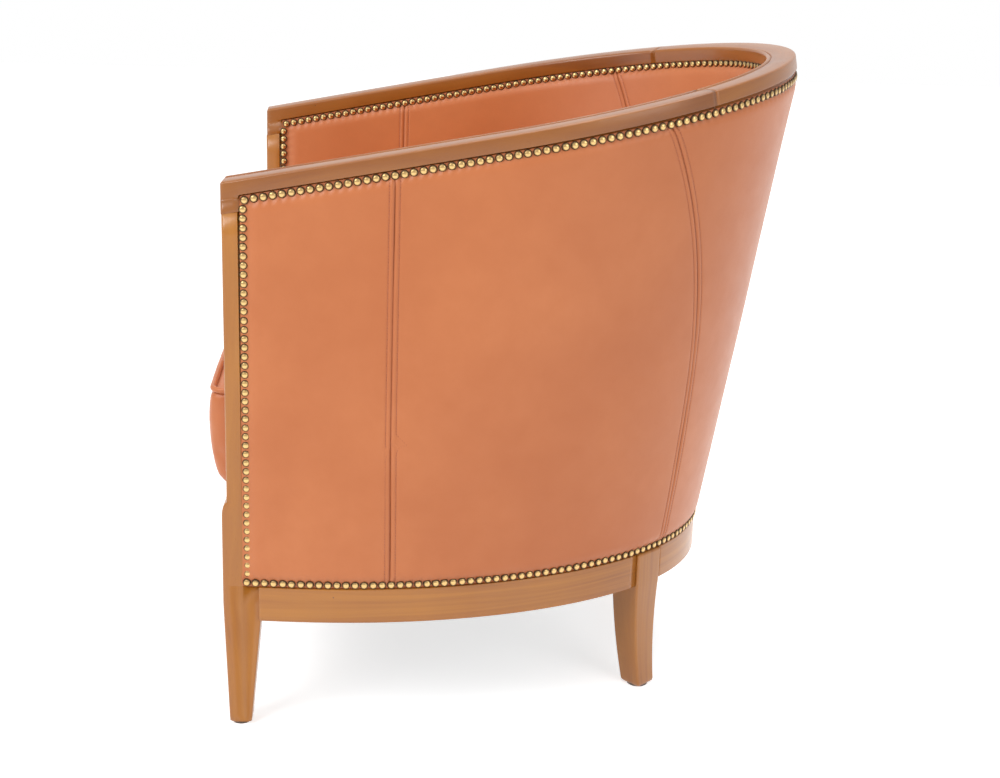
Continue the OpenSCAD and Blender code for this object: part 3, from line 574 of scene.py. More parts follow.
def makeFrontLegs():
    low = [2 * mm, 2.6 * mm, 3.5 * mm, 5 * mm]
    zs = low + list(np.linspace(12 * mm, chair["baseZ"], 12)) + [chair["baseZ"] + 10 * mm, chair["baseZ"] + 20 * mm]
    zs += [leatherZ - 0.05 * mm, leatherZ + 0.05 * mm] + list(np.linspace(leatherZ + 10 * mm, 262 * mm, 5))
    zs += list(np.linspace(267.5 * mm, 286.5 * mm, 20)) + list(np.linspace(300 * mm, 600 * mm, 12))
    rings = []
    for z in zs:
        r = frontLegRing(z)
        rings.append(np.stack([r[:, 0], r[:, 1], np.full(len(r), z)], -1))
    r = frontLegRing(0.61)
    top = chair["armHeight"] - rimH / math.cos(tilt) + (r[:, 1] - frontY) * math.tan(tilt) - 0.1 * mm
    rings.append(np.stack([r[:, 0], r[:, 1], top], -1))
    rings = np.array(rings)
    for side, name in ((1, "right"), (-1, "left")):
        piece = sweep("front_leg_cover_" + name, rings * np.array([side, 1, 1]) + np.array([side * postX, 0, 0]),
                      12 + side * 0.7)
        fit(dress(piece, looks["wood"]), "show_wood", "front_leg_" + name)


def makeRearLegs():
    glide = rearLeg["glide"]
    out0 = halfRail + rearLeg["proud"]
    rings = []
    zs = [glide, glide + 0.8 * mm, glide + 2 * mm, glide + 4 * mm] + list(np.linspace(10 * mm, chair["baseZ"], 24))
    zs += list(np.linspace(150 * mm, leatherZ - 3 * mm, 4)) + [leatherZ - 1.5 * mm, leatherZ]
    for z in zs:
        t = max(0.0, (chair["baseZ"] - z) / (chair["baseZ"] - glide))
        s = (rearLeg["top"] + (rearLeg["foot"] - rearLeg["top"]) * t) / 2
        c = out0 - rearLeg["top"] / 2 + rearLeg["sweep"] * t * t - (rearLeg["top"] - rearLeg["foot"]) / 4 * t
        lift = max(0.0, 2.5 * mm - (z - glide)) + max(0.0, (z - leatherZ + 1.6 * mm) * 0.7)
        s -= lift
        rings.append((rounded([(c + s, -s), (c - s, -s), (c - s, s), (c + s, s)], 2.8 * mm, 4), z))
    tongueRing = rounded([(tongue, -rearLeg["top"] / 2), (-tongue, -rearLeg["top"] / 2),
                          (-tongue, rearLeg["top"] / 2), (tongue, rearLeg["top"] / 2)], 1 * mm, 4)
    rings += [(tongueRing, leatherZ + 0.1 * mm), (tongueRing, leatherZ + chair["baseTongue"])]
    for side, name in ((1, "right"), (-1, "left")):
        p, out, along = localFrame(chair["legU"], side)
        made = [p + r[:, :1] * out + r[:, 1:] * along + np.array([0, 0, z]) for r, z in rings]
        piece = sweep("rear_leg_cover_" + name, made, 15 + side * 0.9)
        fit(dress(piece, looks["wood"]), "show_wood", "rear_leg_" + name)


makeRims()
makeBaseRails()
makeFrontLegs()
makeRearLegs()
print("wood made")


# ---- wall leather ----
def easeIn(d, reach):  # 0 at the nails, 1 once the leather has rolled over
    t = np.clip(d / reach, 0, 1)
    return 1 - (1 - t) ** 2.6


def denseSteps(count, power=2.2):  # closer together near both ends
    t = np.linspace(-1, 1, count)
    s = np.sign(t) * (1 - (1 - np.abs(t)) ** power)
    return (0.55 * s + 0.45 * t + 1) / 2


def softWave(p, seed):  # slow unevenness of a stuffed surface
    a = np.sin(p[..., 0] * 21 + seed) * np.cos(p[..., 2] * 17 + seed * 2.3)
    b = np.sin(p[..., 1] * 27 + seed * 1.7) * np.cos(p[..., 2] * 31 + seed)
    return 0.6 * a + 0.4 * b


def makePanel(k, out, name):
    count = (110, 150, 230, 150, 110)[k]
    cols, rows = denseSteps(count), denseSteps(120)
    length = float(wallLength(1.5))
    low = 0.5 * mm if out > 0 else leather["insideLow"]
    h = (low + (length - 0.5 * mm - low) * rows) / length
    c, hh = np.meshgrid(cols, h, indexing="ij")
    u0, u1 = edgeU(k, hh), edgeU(k + 1, hh)
    u = u0 + (u1 - u0) * c
    mid = wallMid(u, hh)
    stepLen = np.linalg.norm(np.diff(mid, axis=0), axis=-1)
    arc = np.concatenate([np.zeros((1, len(h))), np.cumsum(stepLen, 0)], 0)
    dLeft, dRight = arc, arc[-1] - arc
    size = wallLength(u)
    dTop, dLow = (1 - hh) * size, hh * size
    nailLine = nails["edge"] + 2.6 * mm
    roll = easeIn(dTop - nailLine, leather["roll"])
    if out > 0:
        roll = roll * easeIn(dLow - nailLine, leather["roll"])
    if k == 0:
        roll = roll * easeIn(dLeft - nailLine, leather["roll"])
    if k == 4:
        roll = roll * easeIn(dRight - nailLine, leather["roll"])
    n = skin + leather["puff"] * roll
    # small pulls between the nails
    pull = np.cos(arc / nails["pitch"] * 2 * math.pi)
    n = n + leather["tuft"] * pull * np.exp(-((dTop - 11 * mm) / (4 * mm)) ** 2)
    if out > 0:
        n = n + leather["tuft"] * pull * np.exp(-((dLow - 11 * mm) / (4 * mm)) ** 2)
    pullUp = np.cos(dLow / nails["pitch"] * 2 * math.pi)
    if k == 0:
        n = n + leather["tuft"] * pullUp * np.exp(-((dLeft - 11 * mm) / (4 * mm)) ** 2)
    if k == 4:
        n = n + leather["tuft"] * pullUp * np.exp(-((dRight - 11 * mm) / (4 * mm)) ** 2)
    n = n + leather["wave"] * roll * softWave(mid, k * 1.3 + out)
    # painted shade mask: darkens the leather in the seam valleys, along the stitch rows and where it rolls down under
    # the nails
    valley = np.zeros_like(n)
    for seamed, d in ((k > 0, dLeft), (k < 4, dRight)):
        if seamed:
            drop = np.exp(-(d / leather["seamWidth"]) ** 2)
            n = n - leather["seamDrop"] * drop
            n = n - leather["stitchDrop"] * np.exp(-((d - leather["stitchOff"]) / (1.3 * mm)) ** 2)
            n = n + 0.35 * mm * np.exp(-((d - 3.2 * mm) / (1.6 * mm)) ** 2)
            valley = np.maximum(valley, np.exp(-(d / (0.9 * mm)) ** 2))
            valley = np.maximum(valley, 0.25 * np.exp(-((d - leather["stitchOff"]) / (0.9 * mm)) ** 2))
    # painted shade where the leather rolls down under the nail rows
    under = np.exp(-(np.maximum(0, np.minimum(dTop, dLow if out > 0 else dTop) - nailLine) / (3 * mm)) ** 2)
    valley = np.maximum(valley, 0.35 * under)
    face = wallPoint(u, hh, out * n)
    back = wallPoint(u, hh, out * (n - leather["thick"]))
    uv = np.stack([arc, hh * size], -1)
    piece = newMesh(name, np.concatenate([face.reshape(-1, 3), back.reshape(-1, 3)]), shellFaces(*face.shape[:2]),
                    np.concatenate([uv.reshape(-1, 2)] * 2), {"valley": np.concatenate([valley.ravel()] * 2)})
    return fixNormals(piece)


panelNames = ("front_right", "rear_right", "back", "rear_left", "front_left")
for out, word in ((1, "out"), (-1, "in")):
    for k, place in enumerate(panelNames):
        piece = makePanel(k, out, "leather_cover_%s_%s" % (word, place))
        fit(dress(piece, looks["leather"]), "leather", "leather_%s_%s" % (word, place), pad=0.9)
print("wall leather made")


# ---- repeats by geometry nodes ----
def nodeTree(name, sizes):
    tree = bpy.data.node_groups.new(name, "GeometryNodeTree")
    tree.interface.new_socket("Path", in_out="INPUT", socket_type="NodeSocketGeometry")
    for key, kind, value in sizes:
        tree.interface.new_socket(key, in_out="INPUT", socket_type="NodeSocket" + kind).default_value = value
    tree.interface.new_socket("Result", in_out="OUTPUT", socket_type="NodeSocketGeometry")
    return tree


def addNode(tree, kind, settings=None, **links):
    item = tree.nodes.new(kind)
    for key, value in (settings or {}).items():
        setattr(item, key, value)
    for key, value in links.items():
        slot = item.inputs[int(key[1:])] if key[1:].isdigit() else item.inputs[key.replace("_", " ")]
        if isinstance(value, bpy.types.NodeSocket):
            tree.links.new(value, slot)
        else:
            slot.default_value = value
    return item


def rowTree(name, part, look, byCount):  # sets a part along every path, standing on its own out direction
    tree = nodeTree(name, [("Spacing", "Float", 0.01), ("Count", "Int", 10), ("Wobble", "Float", 0.02),
                           ("Drift", "Float", 0.0), ("Seed", "Int", 1)])
    given = addNode(tree, "NodeGroupInput").outputs
    curve = addNode(tree, "GeometryNodeMeshToCurve", Mesh=given["Path"])
    if byCount:
        spread = addNode(tree, "GeometryNodeResampleCurve", {"mode": "COUNT"}, Curve=curve.outputs[0],
                         Count=given["Count"])
    else:
        spread = addNode(tree, "GeometryNodeResampleCurve", {"mode": "LENGTH"}, Curve=curve.outputs[0],
                         Length=given["Spacing"])
    out = addNode(tree, "GeometryNodeInputNamedAttribute", {"data_type": "FLOAT_VECTOR"}, Name="out")
    tangent = addNode(tree, "GeometryNodeInputTangent")
    keepOut = addNode(tree, "GeometryNodeStoreNamedAttribute", {"data_type": "FLOAT_VECTOR", "domain": "POINT"},
                      Geometry=spread.outputs[0], Name="along", Value=tangent.outputs[0])
    along = addNode(tree, "GeometryNodeInputNamedAttribute", {"data_type": "FLOAT_VECTOR"}, Name="along")
    stand = addNode(tree, "FunctionNodeAlignRotationToVector", {"axis": "Z"}, Vector=out.outputs[0])
    turn = addNode(tree, "FunctionNodeAlignRotationToVector", {"axis": "X", "pivot_axis": "Z"},
                   Rotation=stand.outputs[0], Vector=along.outputs[0])
    negative = addNode(tree, "ShaderNodeMath", {"operation": "MULTIPLY"}, i0=given["Wobble"], i1=-1.0)
    low = addNode(tree, "ShaderNodeCombineXYZ", X=negative.outputs[0], Y=negative.outputs[0])
    high = addNode(tree, "ShaderNodeCombineXYZ", X=given["Wobble"], Y=given["Wobble"])
    shake = addNode(tree, "FunctionNodeRandomValue", {"data_type": "FLOAT_VECTOR"}, i0=low.outputs[0],
                    i1=high.outputs[0], Seed=given["Seed"])
    tip = addNode(tree, "FunctionNodeEulerToRotation", Euler=shake.outputs[0])
    both = addNode(tree, "FunctionNodeRotateRotation", {"rotation_space": "LOCAL"}, Rotation=turn.outputs[0],
                   Rotate_By=tip.outputs[0])
    negDrift = addNode(tree, "ShaderNodeMath", {"operation": "MULTIPLY"}, i0=given["Drift"], i1=-1.0)
    lowD = addNode(tree, "ShaderNodeCombineXYZ", X=negDrift.outputs[0], Y=negDrift.outputs[0], Z=negDrift.outputs[0])
    highD = addNode(tree, "ShaderNodeCombineXYZ", X=given["Drift"], Y=given["Drift"], Z=given["Drift"])
    moved = addNode(tree, "FunctionNodeRandomValue", {"data_type": "FLOAT_VECTOR"}, i0=lowD.outputs[0],
                    i1=highD.outputs[0], Seed=given["Seed"])
    placed = addNode(tree, "GeometryNodeSetPosition", Geometry=keepOut.outputs[0], Offset=moved.outputs[0])
    shape = addNode(tree, "GeometryNodeObjectInfo", Object=part)
    many = addNode(tree, "GeometryNodeInstanceOnPoints", Points=placed.outputs[0], Instance=shape.outputs["Geometry"],
                   Rotation=both.outputs[0])
    real = addNode(tree, "GeometryNodeRealizeInstances", Geometry=many.outputs[0])
    painted = addNode(tree, "GeometryNodeSetMaterial", Geometry=real.outputs[0], Material=look)
    result = addNode(tree, "NodeGroupOutput")
    tree.links.new(painted.outputs[0], result.inputs[0])
    return tree


def pathObject(name, rows):  # each row is points and out directions
    verts, outs, edges = [], [], []
    for points, out in rows:
        start = len(verts)
        verts += (np.asarray(points) + np.array([0, shiftY, 0])).tolist()
        outs += np.asarray(out).tolist()
        edges += [(start + i, start + i + 1) for i in range(len(points) - 1)]
    mesh = bpy.data.meshes.new(name)
    mesh.from_pydata(verts, edges, [])
    item = mesh.attributes.new("out", "FLOAT_VECTOR", "POINT")
    item.data.foreach_set("vector", np.asarray(outs, float).ravel())
    path = bpy.data.objects.new(name, mesh)
    bpy.context.scene.collection.objects.link(path)
    return path


def grow(name, rows, tree, **sizes):  # runs the tree on the rows and keeps the result as one plain mesh
    path = pathObject(name + "_path", rows)
    modifier = path.modifiers.new("rows", "NODES")
    modifier.node_group = tree
    for item in tree.interface.items_tree:
        if item.in_out == "INPUT" and item.name in sizes:
            modifier[item.identifier] = sizes[item.name]
    graph = bpy.context.evaluated_depsgraph_get()
    mesh = bpy.data.meshes.new_from_object(path.evaluated_get(graph))
    mesh.name = name
    path.modifiers.remove(modifier)
    bpy.data.objects.remove(path)
    piece = bpy.data.objects.new(name, mesh)
    bpy.context.scene.collection.objects.link(piece)
    mesh.polygons.foreach_set("use_smooth", [True] * len(mesh.polygons))
    return piece


def turnedPart(name, profile, seg, attribute=None):  # a small round part from its outline
    verts, values = [], []
    for r, z, mark in profile[:-1]:
        for j in range(seg):
            a = 2 * math.pi * j / seg
            verts.append((r * math.cos(a), r * math.sin(a), z))
            values.append(mark)
    verts.append((0, 0, profile[-1][1]))
    values.append(profile[-1][2])
    m = len(profile) - 1
    faces = [(i * seg + j, i * seg + (j + 1) % seg, (i + 1) * seg + (j + 1) % seg, (i + 1) * seg + j)
             for i in range(m - 1) for j in range(seg)]
    faces += [((m - 1) * seg + j, (m - 1) * seg + (j + 1) % seg, m * seg) for j in range(seg)]
    faces.append(tuple(range(seg - 1, -1, -1)))
    mesh = bpy.data.meshes.new(name)
    mesh.from_pydata(verts, [], faces)
    mesh.polygons.foreach_set("use_smooth", [True] * len(mesh.polygons))
    if attribute:
        mesh.attributes.new(attribute, "FLOAT", "POINT").data.foreach_set("value", values)
    part = bpy.data.objects.new(name, mesh)
    bpy.context.scene.collection.objects.link(part)
    return part


def nailShape():
    r, h = nails["head"] / 2, nails["height"]
    dome = [(r * math.sin(a), h * math.cos(a) ** 0.9, math.sin(a)) for a in
            [math.radians(x) for x in (86, 72, 52, 27)]]
    return turnedPart("nail shape", [(r * 0.97, -0.5 * mm, 1.0)] + dome + [(0, h, 0.0)], 14, "edge")


def wallRow(dist, out, level):  # a dense row on the wall, dist from its lower or upper edge
    u0 = float(uAt(0.0, 1.0 if dist < 0 else 0.0))
    us = np.linspace(u0, 4 - u0, 900)
    size = wallLength(us)
    h = dist / size if dist > 0 else 1 + dist / size
    return wallPoint(us, h, out * level), out * wallOut(us, h)


def rowLength(points):
    return float(np.linalg.norm(np.diff(points, axis=0), axis=1).sum())


def postRow(side, out, lowZ, level):
    top = float(wallPoint(np.array(uAt(0.0, 1.0)), 1 - nails["edge"] / float(wallLength(0.1)), 0.0)[2])
    count = round((top - lowZ) / nails["pitch"])
    step = (top - lowZ) / count
    zs = np.linspace(lowZ + step, top - step, count - 1)
    points = np.stack([np.full(len(zs), side * (postX + out * level)), np.zeros(len(zs)), zs], -1)
    return points, np.tile([side * out, 0, 0], (len(zs), 1)), count - 1


def makeNails():
    part = nailShape()
    tree = rowTree("nail row", part, looks["brass"], True)
    level = skin + 0.4 * mm
    wobble = math.radians(nails["wobble"])

    def rowOf(name, rows, count, node, seed):
        piece = grow(name, rows, tree, Count=count, Wobble=wobble, Drift=nails["drift"], Seed=seed)
        fit(piece, "brass_nails", node)

    for name, dist, out, seed in (("rim_outside", -nails["edge"], 1, 3), ("rim_inside", -nails["edge"], -1, 4),
                                  ("base", nails["edge"], 1, 5)):
        row = wallRow(dist, out, level)
        rowOf("nail_row_" + name, [row], round(rowLength(row[0]) / nails["pitch"]) + 1, "nails_" + name, seed)
    for side, word in ((1, "right"), (-1, "left")):
        points, outs, count = postRow(side, 1, leatherZ + nails["edge"], level)
        rowOf("nail_row_post_" + word, [(points, outs)], count, "nails_post_" + word, 6 + side)
    rows = [postRow(side, -1, seat["z"] + 24 * mm, level) for side in (1, -1)]
    rowOf("nail_row_posts_inside", [r[:2] for r in rows], rows[0][2], "nails_posts_inside", 9)
    lo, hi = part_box("nails_seat_front")
    r = nails["head"] / 2
    xs = np.linspace(lo[0] + r, hi[0] - r, 200)
    y = hi[1] - 9 * mm - shiftY
    z = (lo[2] + hi[2]) / 2
    points = np.stack([xs, np.full(200, y), np.full(200, z)], -1)
    rowOf("nail_row_seat_front", [(points, np.tile([0, -1, 0], (200, 1)))],
          round(rowLength(points) / nails["pitch"]) + 1, "nails_seat_front", 11)
    bpy.data.objects.remove(part)


stitch = dict(pitch=3.4 * mm, length=2.7 * mm, radius=0.42 * mm)


def stitchShape():
    seg, length, r = 6, stitch["length"], stitch["radius"]
    verts, faces = [], []
    stations = [(-0.5, 0.25), (-0.38, 0.85), (0.0, 1.0), (0.38, 0.85), (0.5, 0.25)]
    for x, w in stations:
        for j in range(seg):
            a = 2 * math.pi * j / seg
            verts.append((x * length, r * w * math.cos(a), r * w * math.sin(a) - r * 1.2 * abs(x) ** 2 * 2))
    for i in range(len(stations) - 1):
        faces += [(i * seg + j, (i + 1) * seg + j, (i + 1) * seg + (j + 1) % seg, i * seg + (j + 1) % seg)
                  for j in range(seg)]
    faces += [tuple(range(seg)), tuple(len(verts) - seg + j for j in range(seg - 1, -1, -1))]
    mesh = bpy.data.meshes.new("stitch shape")
    mesh.from_pydata(verts, [], faces)
    part = bpy.data.objects.new("stitch shape", mesh)
    bpy.context.scene.collection.objects.link(part)
    return part


def makeStitches():
    part = stitchShape()
    tree = rowTree("stitch row", part, looks["thread"], False)
    length = float(wallLength(1.5))
    for out, word in ((1, "outside"), (-1, "inside")):
        rows = []
        low = nails["edge"] * 2 if out > 0 else leather["insideLow"]
        h = np.linspace(low, length - nails["edge"] * 2, 260) / length
        for k in (1, 2, 3, 4):
            mid = edgeU(k, h)
            level = skin + leather["puff"] - leather["stitchDrop"] + 0.25 * mm
            top = easeIn((1 - h) * wallLength(mid) - nails["edge"] - 2.6 * mm, leather["roll"])
            if out > 0:
                top = top * easeIn(h * wallLength(mid) - nails["edge"] - 2.6 * mm, leather["roll"])
            n = skin + (level - skin) * top
            speed = np.linalg.norm(wallMid(mid + 0.005, h) - wallMid(mid - 0.005, h), axis=-1) / 0.01
            for s in (-1, 1):
                u = mid + s * leather["stitchOff"] / speed
                wave = leather["wave"] * top * softWave(wallMid(u, h), (k if s > 0 else k - 1) * 1.3 + out)
                rows.append((wallPoint(u, h, out * (n + wave)), out * wallOut(u, h)))
        piece = grow("seam_stitches_" + word, rows, tree, Spacing=stitch["pitch"], Wobble=0.05, Drift=0.05 * mm,
                     Seed=20 + out)
        fit(piece, "leather")
    bpy.data.objects.remove(part)


makeNails()
makeStitches()
print("nails and stitches made")


# ---- seat ----
def seatSide(z, inset):  # x and y of the right side of the seat from the front corner to the middle behind
    us = np.linspace(0.0, 1.0, 60)
    gap = skin + leather["puff"] + 0.8 * mm + inset
    points = []
    for f in us:
        u = float(uAt(postBack + 30 * mm, 0.3)) * (1 - f) + 2 * f
        hz = (z - leatherZ) / (float(rimPoint(u, 0.0, edgeW)[2]) - leatherZ)
        points.append(wallPoint(u, hz, -gap)[:2])
    return np.array(points)


def seatOutline(z, fy, inset=0.0):  # half outline, from the middle of the front to the middle behind
    r = seat["corner"]
    x1 = postX - halfRail - 1.5 * mm - inset
    front = [(t * (x1 - r), fy + inset + 3 * mm * t * t) for t in np.linspace(0, 1, 24)]
    corner = [(x1 - r + r * math.sin(a), fy + inset + 3 * mm + r * (1 - math.cos(a)))
              for a in np.linspace(0, math.pi / 2, 12)[1:]]
    side = seatSide(z, inset)
    side = side[side[:, 1] > postBack + 10 * mm]
    straight = [(x1, y) for y in np.linspace(corner[-1][1], side[0][1], 8)[1:-1]]
    straight = [(x1 + (min(x1, side[0][0]) - x1) * i / len(straight), y) for i, (_, y) in enumerate(straight)]
    return np.array(front + corner + straight + [tuple(p) for p in side])


def fullRing(half, z):
    ring = np.concatenate([half, half[-2:0:-1] * np.array([-1, 1])])
    return np.concatenate([ring, np.full((len(ring), 1), z)], 1)


def resampleRing(ring, count):
    closed = np.vstack([ring, ring[:1]])
    s = np.concatenate([[0], np.cumsum(np.linalg.norm(np.diff(closed, axis=0), axis=1))])
    at = np.linspace(0, s[-1], count, endpoint=False)
    return np.stack([np.interp(at, s, closed[:, i]) for i in range(3)], -1)


def seatProfile(z):  # how far forward the border lies at height z
    zs = [210 * mm, seat["tuckZ"] - 6 * mm, seat["tuckZ"], seat["tuckZ"] + 24 * mm, 340 * mm, 372 * mm,
          seat["z"] - 14 * mm, seat["z"]]
    ys = [frontY + 14 * mm, frontY + 8 * mm, frontY + 4 * mm, seatFront + 9 * mm, seatFront + 3 * mm, seatFront + 1 * mm,
          seatFront + 2 * mm, seatFront + 4 * mm]
    return float(np.interp(z, zs, ys))


def makeSeat():
    count = 360
    rings = []
    for z in (212 * mm, 250 * mm, 274 * mm, 281 * mm, 292 * mm, 304 * mm, 322 * mm, 345 * mm, 372 * mm, 394 * mm,
              seat["z"] - 2 * mm):
        rings.append(resampleRing(fullRing(seatOutline(z, seatProfile(z) + 0.2 * mm, 0.6 * mm), z), count))
    edge = resampleRing(fullRing(seatOutline(seat["z"], seatProfile(seat["z"]) - 0.6 * mm, 0.6 * mm), seat["z"]), count)
    centre = np.array([0, 0.22, 0])
    for f in (0.03, 0.08, 0.16, 0.28, 0.45, 0.65, 0.85, 0.97):
        ring = edge + (centre - edge) * f
        ring[:, 2] = seat["z"] + seat["crown"] * 0.72 * (1 - (1 - f) ** 2.0)
        rings.append(ring)
    shape = fixNormals(newMesh("seat_cover", np.array(rings), sweepFaces(len(rings), count)))
    return shape


def evenMesh(piece, voxel=6 * mm):
    remesh = piece.modifiers.new("remesh", "REMESH")
    remesh.mode, remesh.voxel_size = "VOXEL", voxel
    bpy.context.view_layer.objects.active = piece
    bpy.ops.object.modifier_apply(modifier=remesh.name)
    return piece


def puffUp(piece, pins, cap, frames=20, pressure=4.0):
    scene = bpy.context.scene
    rest = np.empty(len(piece.data.vertices) * 3)
    piece.data.vertices.foreach_get("co", rest)
    rest = rest.reshape(-1, 3)
    group = piece.vertex_groups.new(name="held")
    weights = pins(rest)
    for level in np.unique(np.round(weights, 1)):
        if level > 0:
            group.add(np.nonzero(np.round(weights, 1) == level)[0].tolist(), float(level), "REPLACE")
    cloth = piece.modifiers.new("cloth", "CLOTH")
    s = cloth.settings
    s.use_pressure, s.uniform_pressure_force = True, pressure
    s.effector_weights.gravity = 0
    s.tension_stiffness = s.compression_stiffness = 18
    s.bending_stiffness = 1.5
    s.quality = 5
    s.mass = 0.4
    s.vertex_group_mass = "held"
    cloth.point_cache.frame_start, cloth.point_cache.frame_end = 1, frames
    for number in range(1, frames + 1):
        scene.frame_set(number)
    graph = bpy.context.evaluated_depsgraph_get()
    mesh = bpy.data.meshes.new_from_object(piece.evaluated_get(graph))
    moved = np.empty(len(mesh.vertices) * 3)
    mesh.vertices.foreach_get("co", moved)
    moved = moved.reshape(-1, 3)
    step = moved - rest
    far = np.linalg.norm(step, axis=1, keepdims=True)
    step = step * (np.minimum(far, cap) / np.maximum(far, 1e-9))
    mesh.vertices.foreach_set("co", (rest + step).ravel())
    piece.modifiers.remove(cloth)
    piece.data = mesh
    piece.vertex_groups.clear()
    scene.frame_set(1)
    print("seat swelled by at most %.1f mm" % (far.max() * 1000))
    return piece


def seatPins(rest):
    z = rest[:, 2]
    y = rest[:, 1] - shiftY
    near = np.exp(-((z - seat["z"]) / (7 * mm)) ** 2)
    halfX = postX - halfRail
    edge = np.minimum(1, np.maximum(0, 1 - np.abs(z - seat["z"]) / (9 * mm)))
    outline = np.clip((np.abs(rest[:, 0]) - (halfX - 16 * mm)) / (8 * mm), 0, 1)
    outline = np.maximum(outline, np.clip(((seatFront + 16 * mm) - y) / (8 * mm), 0, 1))
    outline = np.maximum(outline, (y > 0.1) * (z < seat["z"] + 2 * mm) * 1.0)
    return np.maximum(edge * outline, (z < seat["tuckZ"] + 4 * mm) * 1.0) * (near > 0) + 0.0


def weltPath(z, fy):
    half = seatOutline(z, fy, 1.4 * mm)
    upTo = int(np.argmax(half[:, 1] > 0.40))
    right = half[:upTo]
    return np.concatenate([(right * np.array([-1, 1]))[:0:-1], right])


def makeWelt():
    line = weltPath(seat["z"], seatProfile(seat["z"]) + 1.6 * mm)
    s = np.concatenate([[0], np.cumsum(np.linalg.norm(np.diff(line, axis=0), axis=1))])
    at = np.linspace(0, s[-1], 420)
    x, y = np.interp(at, s, line[:, 0]), np.interp(at, s, line[:, 1])
    for _ in range(3):
        x[1:-1], y[1:-1] = (x[:-2] + 2 * x[1:-1] + x[2:]) / 4, (y[:-2] + 2 * y[1:-1] + y[2:]) / 4
    t = np.stack([np.gradient(x), np.gradient(y)], -1)
    t /= np.linalg.norm(t, axis=1, keepdims=True)
    r = seat["welt"] / 2
    a = np.linspace(0, 2 * math.pi, 15)[:-1]
    wob = 0.25 * mm * np.sin(at * 61) + 0.15 * mm * np.sin(at * 143 + 1)
    rings = [np.stack([x[i] + t[i, 1] * r * np.cos(a), y[i] - t[i, 0] * r * np.cos(a),
                       seat["z"] + 2 * mm + wob[i] + r * np.sin(a)], -1) for i in range(len(at))]
    piece = sweep("seat_piping", rings)
    fit(dress(piece, looks["leather"]), "leather", "seat_welt")


def makeApron():  # the flat leather under the tuck, nailed to the front rail
    x1 = postX - halfRail - 1.5 * mm
    yLow = frontY + 2 * mm + chair["rebate"] - 2.4 * mm
    xs = np.concatenate([[-x1], np.linspace(-x1, x1, 120)[1:-1], [x1]])
    zs = np.linspace(leatherZ + 0.8 * mm, seat["tuckZ"] + 6 * mm, 60)
    x, z = np.meshgrid(xs, zs, indexing="ij")
    d = z - leatherZ - nails["edge"] - 3 * mm
    side = np.minimum(x + x1, x1 - x)
    swell = 3.2 * mm * easeIn(d, 16 * mm) * easeIn(side, 10 * mm)
    tuck = np.clip((z - (seat["tuckZ"] - 20 * mm)) / (20 * mm), 0, 1)
    y = yLow - swell - tuck * 1.0 * mm
    pull = np.cos(x / nails["pitch"] * 2 * math.pi) * np.exp(-((d - 2 * mm) / (4 * mm)) ** 2)
    y = y - leather["tuft"] * pull
    face = np.stack([x, y, z], -1)
    back = face + np.array([0, leather["thick"], 0])
    # the valley attribute here is painted shade along the nail line
    piece = newMesh("seat_apron", np.concatenate([face.reshape(-1, 3), back.reshape(-1, 3)]), shellFaces(*x.shape),
                    None, {"valley": np.concatenate([(0.35 * np.exp(-(np.maximum(d, 0) / (3 * mm)) ** 2)).ravel()] * 2)})
    fit(dress(fixNormals(piece), looks["leather"]), "leather", "seat_border_leather")


cushion = evenMesh(makeSeat())
puffUp(cushion, seatPins, 24 * mm)
smooth = cushion.modifiers.new("smooth", "SUBSURF")
smooth.levels = smooth.render_levels = 1
cushion.data.polygons.foreach_set("use_smooth", [True] * len(cushion.data.polygons))
fit(dress(cushion, looks["leather"]), "leather", "seat_foam", "seat_top_leather", pad=0.9)
makeWelt()
makeApron()
print("seat made")


# ---- the pieces that the frame brings ----
brought = dict(
    plainWood=["upright_side_right", "upright_side_left", "upright_back_right", "upright_back_left", "crest_dowels",
               "arm_dowels", "seat_rail_dowels", "corner_blocks"],
    steel=["block_screws"], webbing=["webbing_lengthwise", "webbing_crosswise"], hessian=["seat_hessian"],
    dustCloth=["dust_cover"], felt=["glides"],
    wadding=[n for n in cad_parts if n.startswith("padding_")])
for look, names in brought.items():
    for name in names:
        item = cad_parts[name]
        for place in range(max(1, len(item.material_slots))):
            if not item.material_slots:
                item.data.materials.append(looks[look])
            else:
                item.material_slots[place].material = looks[look]
print("frame pieces dressed")


# ---- floor, light and camera ----
studio = dict(keyPower=44, fillPower=20, backPower=26, sky=0.5)


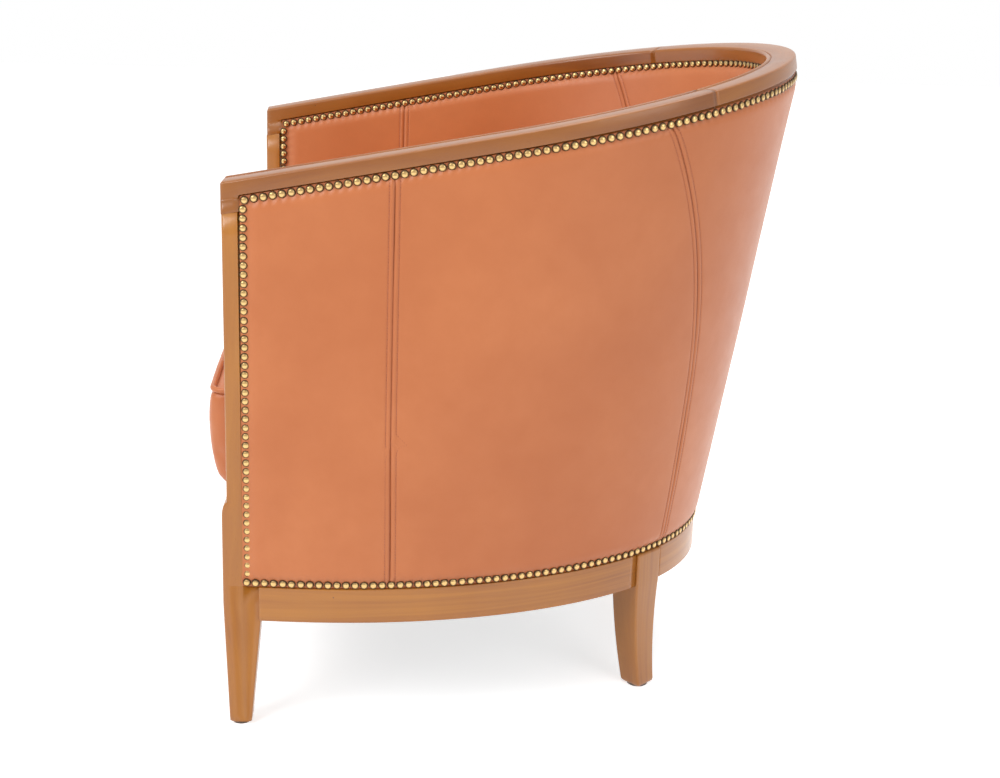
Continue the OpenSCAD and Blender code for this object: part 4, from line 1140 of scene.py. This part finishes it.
def makeStudio():
    bpy.ops.mesh.primitive_plane_add(size=12, location=(0, 0, 0))
    floor = bpy.context.object
    floor.name = "studio_floor"
    f = Finish("studio floor")
    seen = f.node("LightPath", out=0) + f.node("LightPath", out=3) + f.node("LightPath", out=11)
    f.set(baseColor=(0.86, 0.86, 0.865), roughness=0.5, specular=0.35)
    glow = f.tree.nodes.new("ShaderNodeEmission")
    glow.inputs[0].default_value = (1, 1, 1, 1)
    plug(f.tree, glow.inputs[1], seen.clamped() * 0.62)
    add = f.tree.nodes.new("ShaderNodeAddShader")
    f.tree.links.new(f.shader.outputs[0], add.inputs[0])
    f.tree.links.new(glow.outputs[0], add.inputs[1])
    f.tree.links.new(add.outputs[0], f.tree.nodes["Material Output"].inputs[0])
    floor.data.materials.append(f.material)

    world = bpy.data.worlds.new("studio")
    bpy.context.scene.world = world
    world.use_nodes = True
    tree = world.node_tree
    path = tree.nodes.new("ShaderNodeLightPath")
    back = tree.nodes["Background"]
    back.inputs[0].default_value = (1, 1, 1, 1)
    white = Wire(tree, path.outputs[0]).math("MAXIMUM", Wire(tree, path.outputs[0]), Wire(tree, path.outputs[11]))
    plug(tree, back.inputs[1], white * (1 - studio["sky"]) + studio["sky"])

    def softBox(name, place, target, size, power, tint=(1, 1, 1)):
        lamp = bpy.data.lights.new(name, "AREA")
        lamp.shape, lamp.size, lamp.size_y, lamp.energy, lamp.color = "RECTANGLE", *size, power, tint
        item = bpy.data.objects.new(name, lamp)
        item.location = place
        item.rotation_euler = (Vector(target) - Vector(place)).to_track_quat("-Z", "Y").to_euler()
        bpy.context.scene.collection.objects.link(item)

    softBox("key", (1.6, -1.7, 2.1), (0, 0, 0.45), (1.5, 1.5), studio["keyPower"])
    softBox("fill", (2.2, 2.0, 1.5), (0, 0.1, 0.45), (1.6, 1.6), studio["fillPower"])
    softBox("top", (-0.2, 0.2, 2.6), (0, 0, 0.3), (1.8, 1.8), studio["backPower"])


def makeCamera():
    view = dict(yaw=math.radians(2.525), pitch=math.radians(17.208), roll=math.radians(1.719), lens=63.17,
                place=(2.1929, 0.2044, 1.0196))
    yaw, pitch, roll = view["yaw"], view["pitch"], view["roll"]
    ahead = Vector((-math.cos(yaw) * math.cos(pitch), math.sin(yaw) * math.cos(pitch), -math.sin(pitch)))
    right = Vector((math.sin(yaw), math.cos(yaw), 0))
    up = right.cross(ahead)
    side = right * math.cos(roll) + up * math.sin(roll)
    top = up * math.cos(roll) - right * math.sin(roll)
    lens = bpy.data.cameras.new("camera")
    lens.lens, lens.sensor_width = view["lens"], 36
    camera = bpy.data.objects.new("camera", lens)
    x, y, z = view["place"]
    turn = Matrix((side, top, -ahead)).transposed().to_4x4()
    camera.matrix_world = Matrix.Translation((x, y + shiftY, z)) @ turn
    bpy.context.scene.collection.objects.link(camera)
    bpy.context.scene.camera = camera


makeStudio()
makeCamera()
bpy.context.scene.view_settings.view_transform = "Standard"
print("studio made")
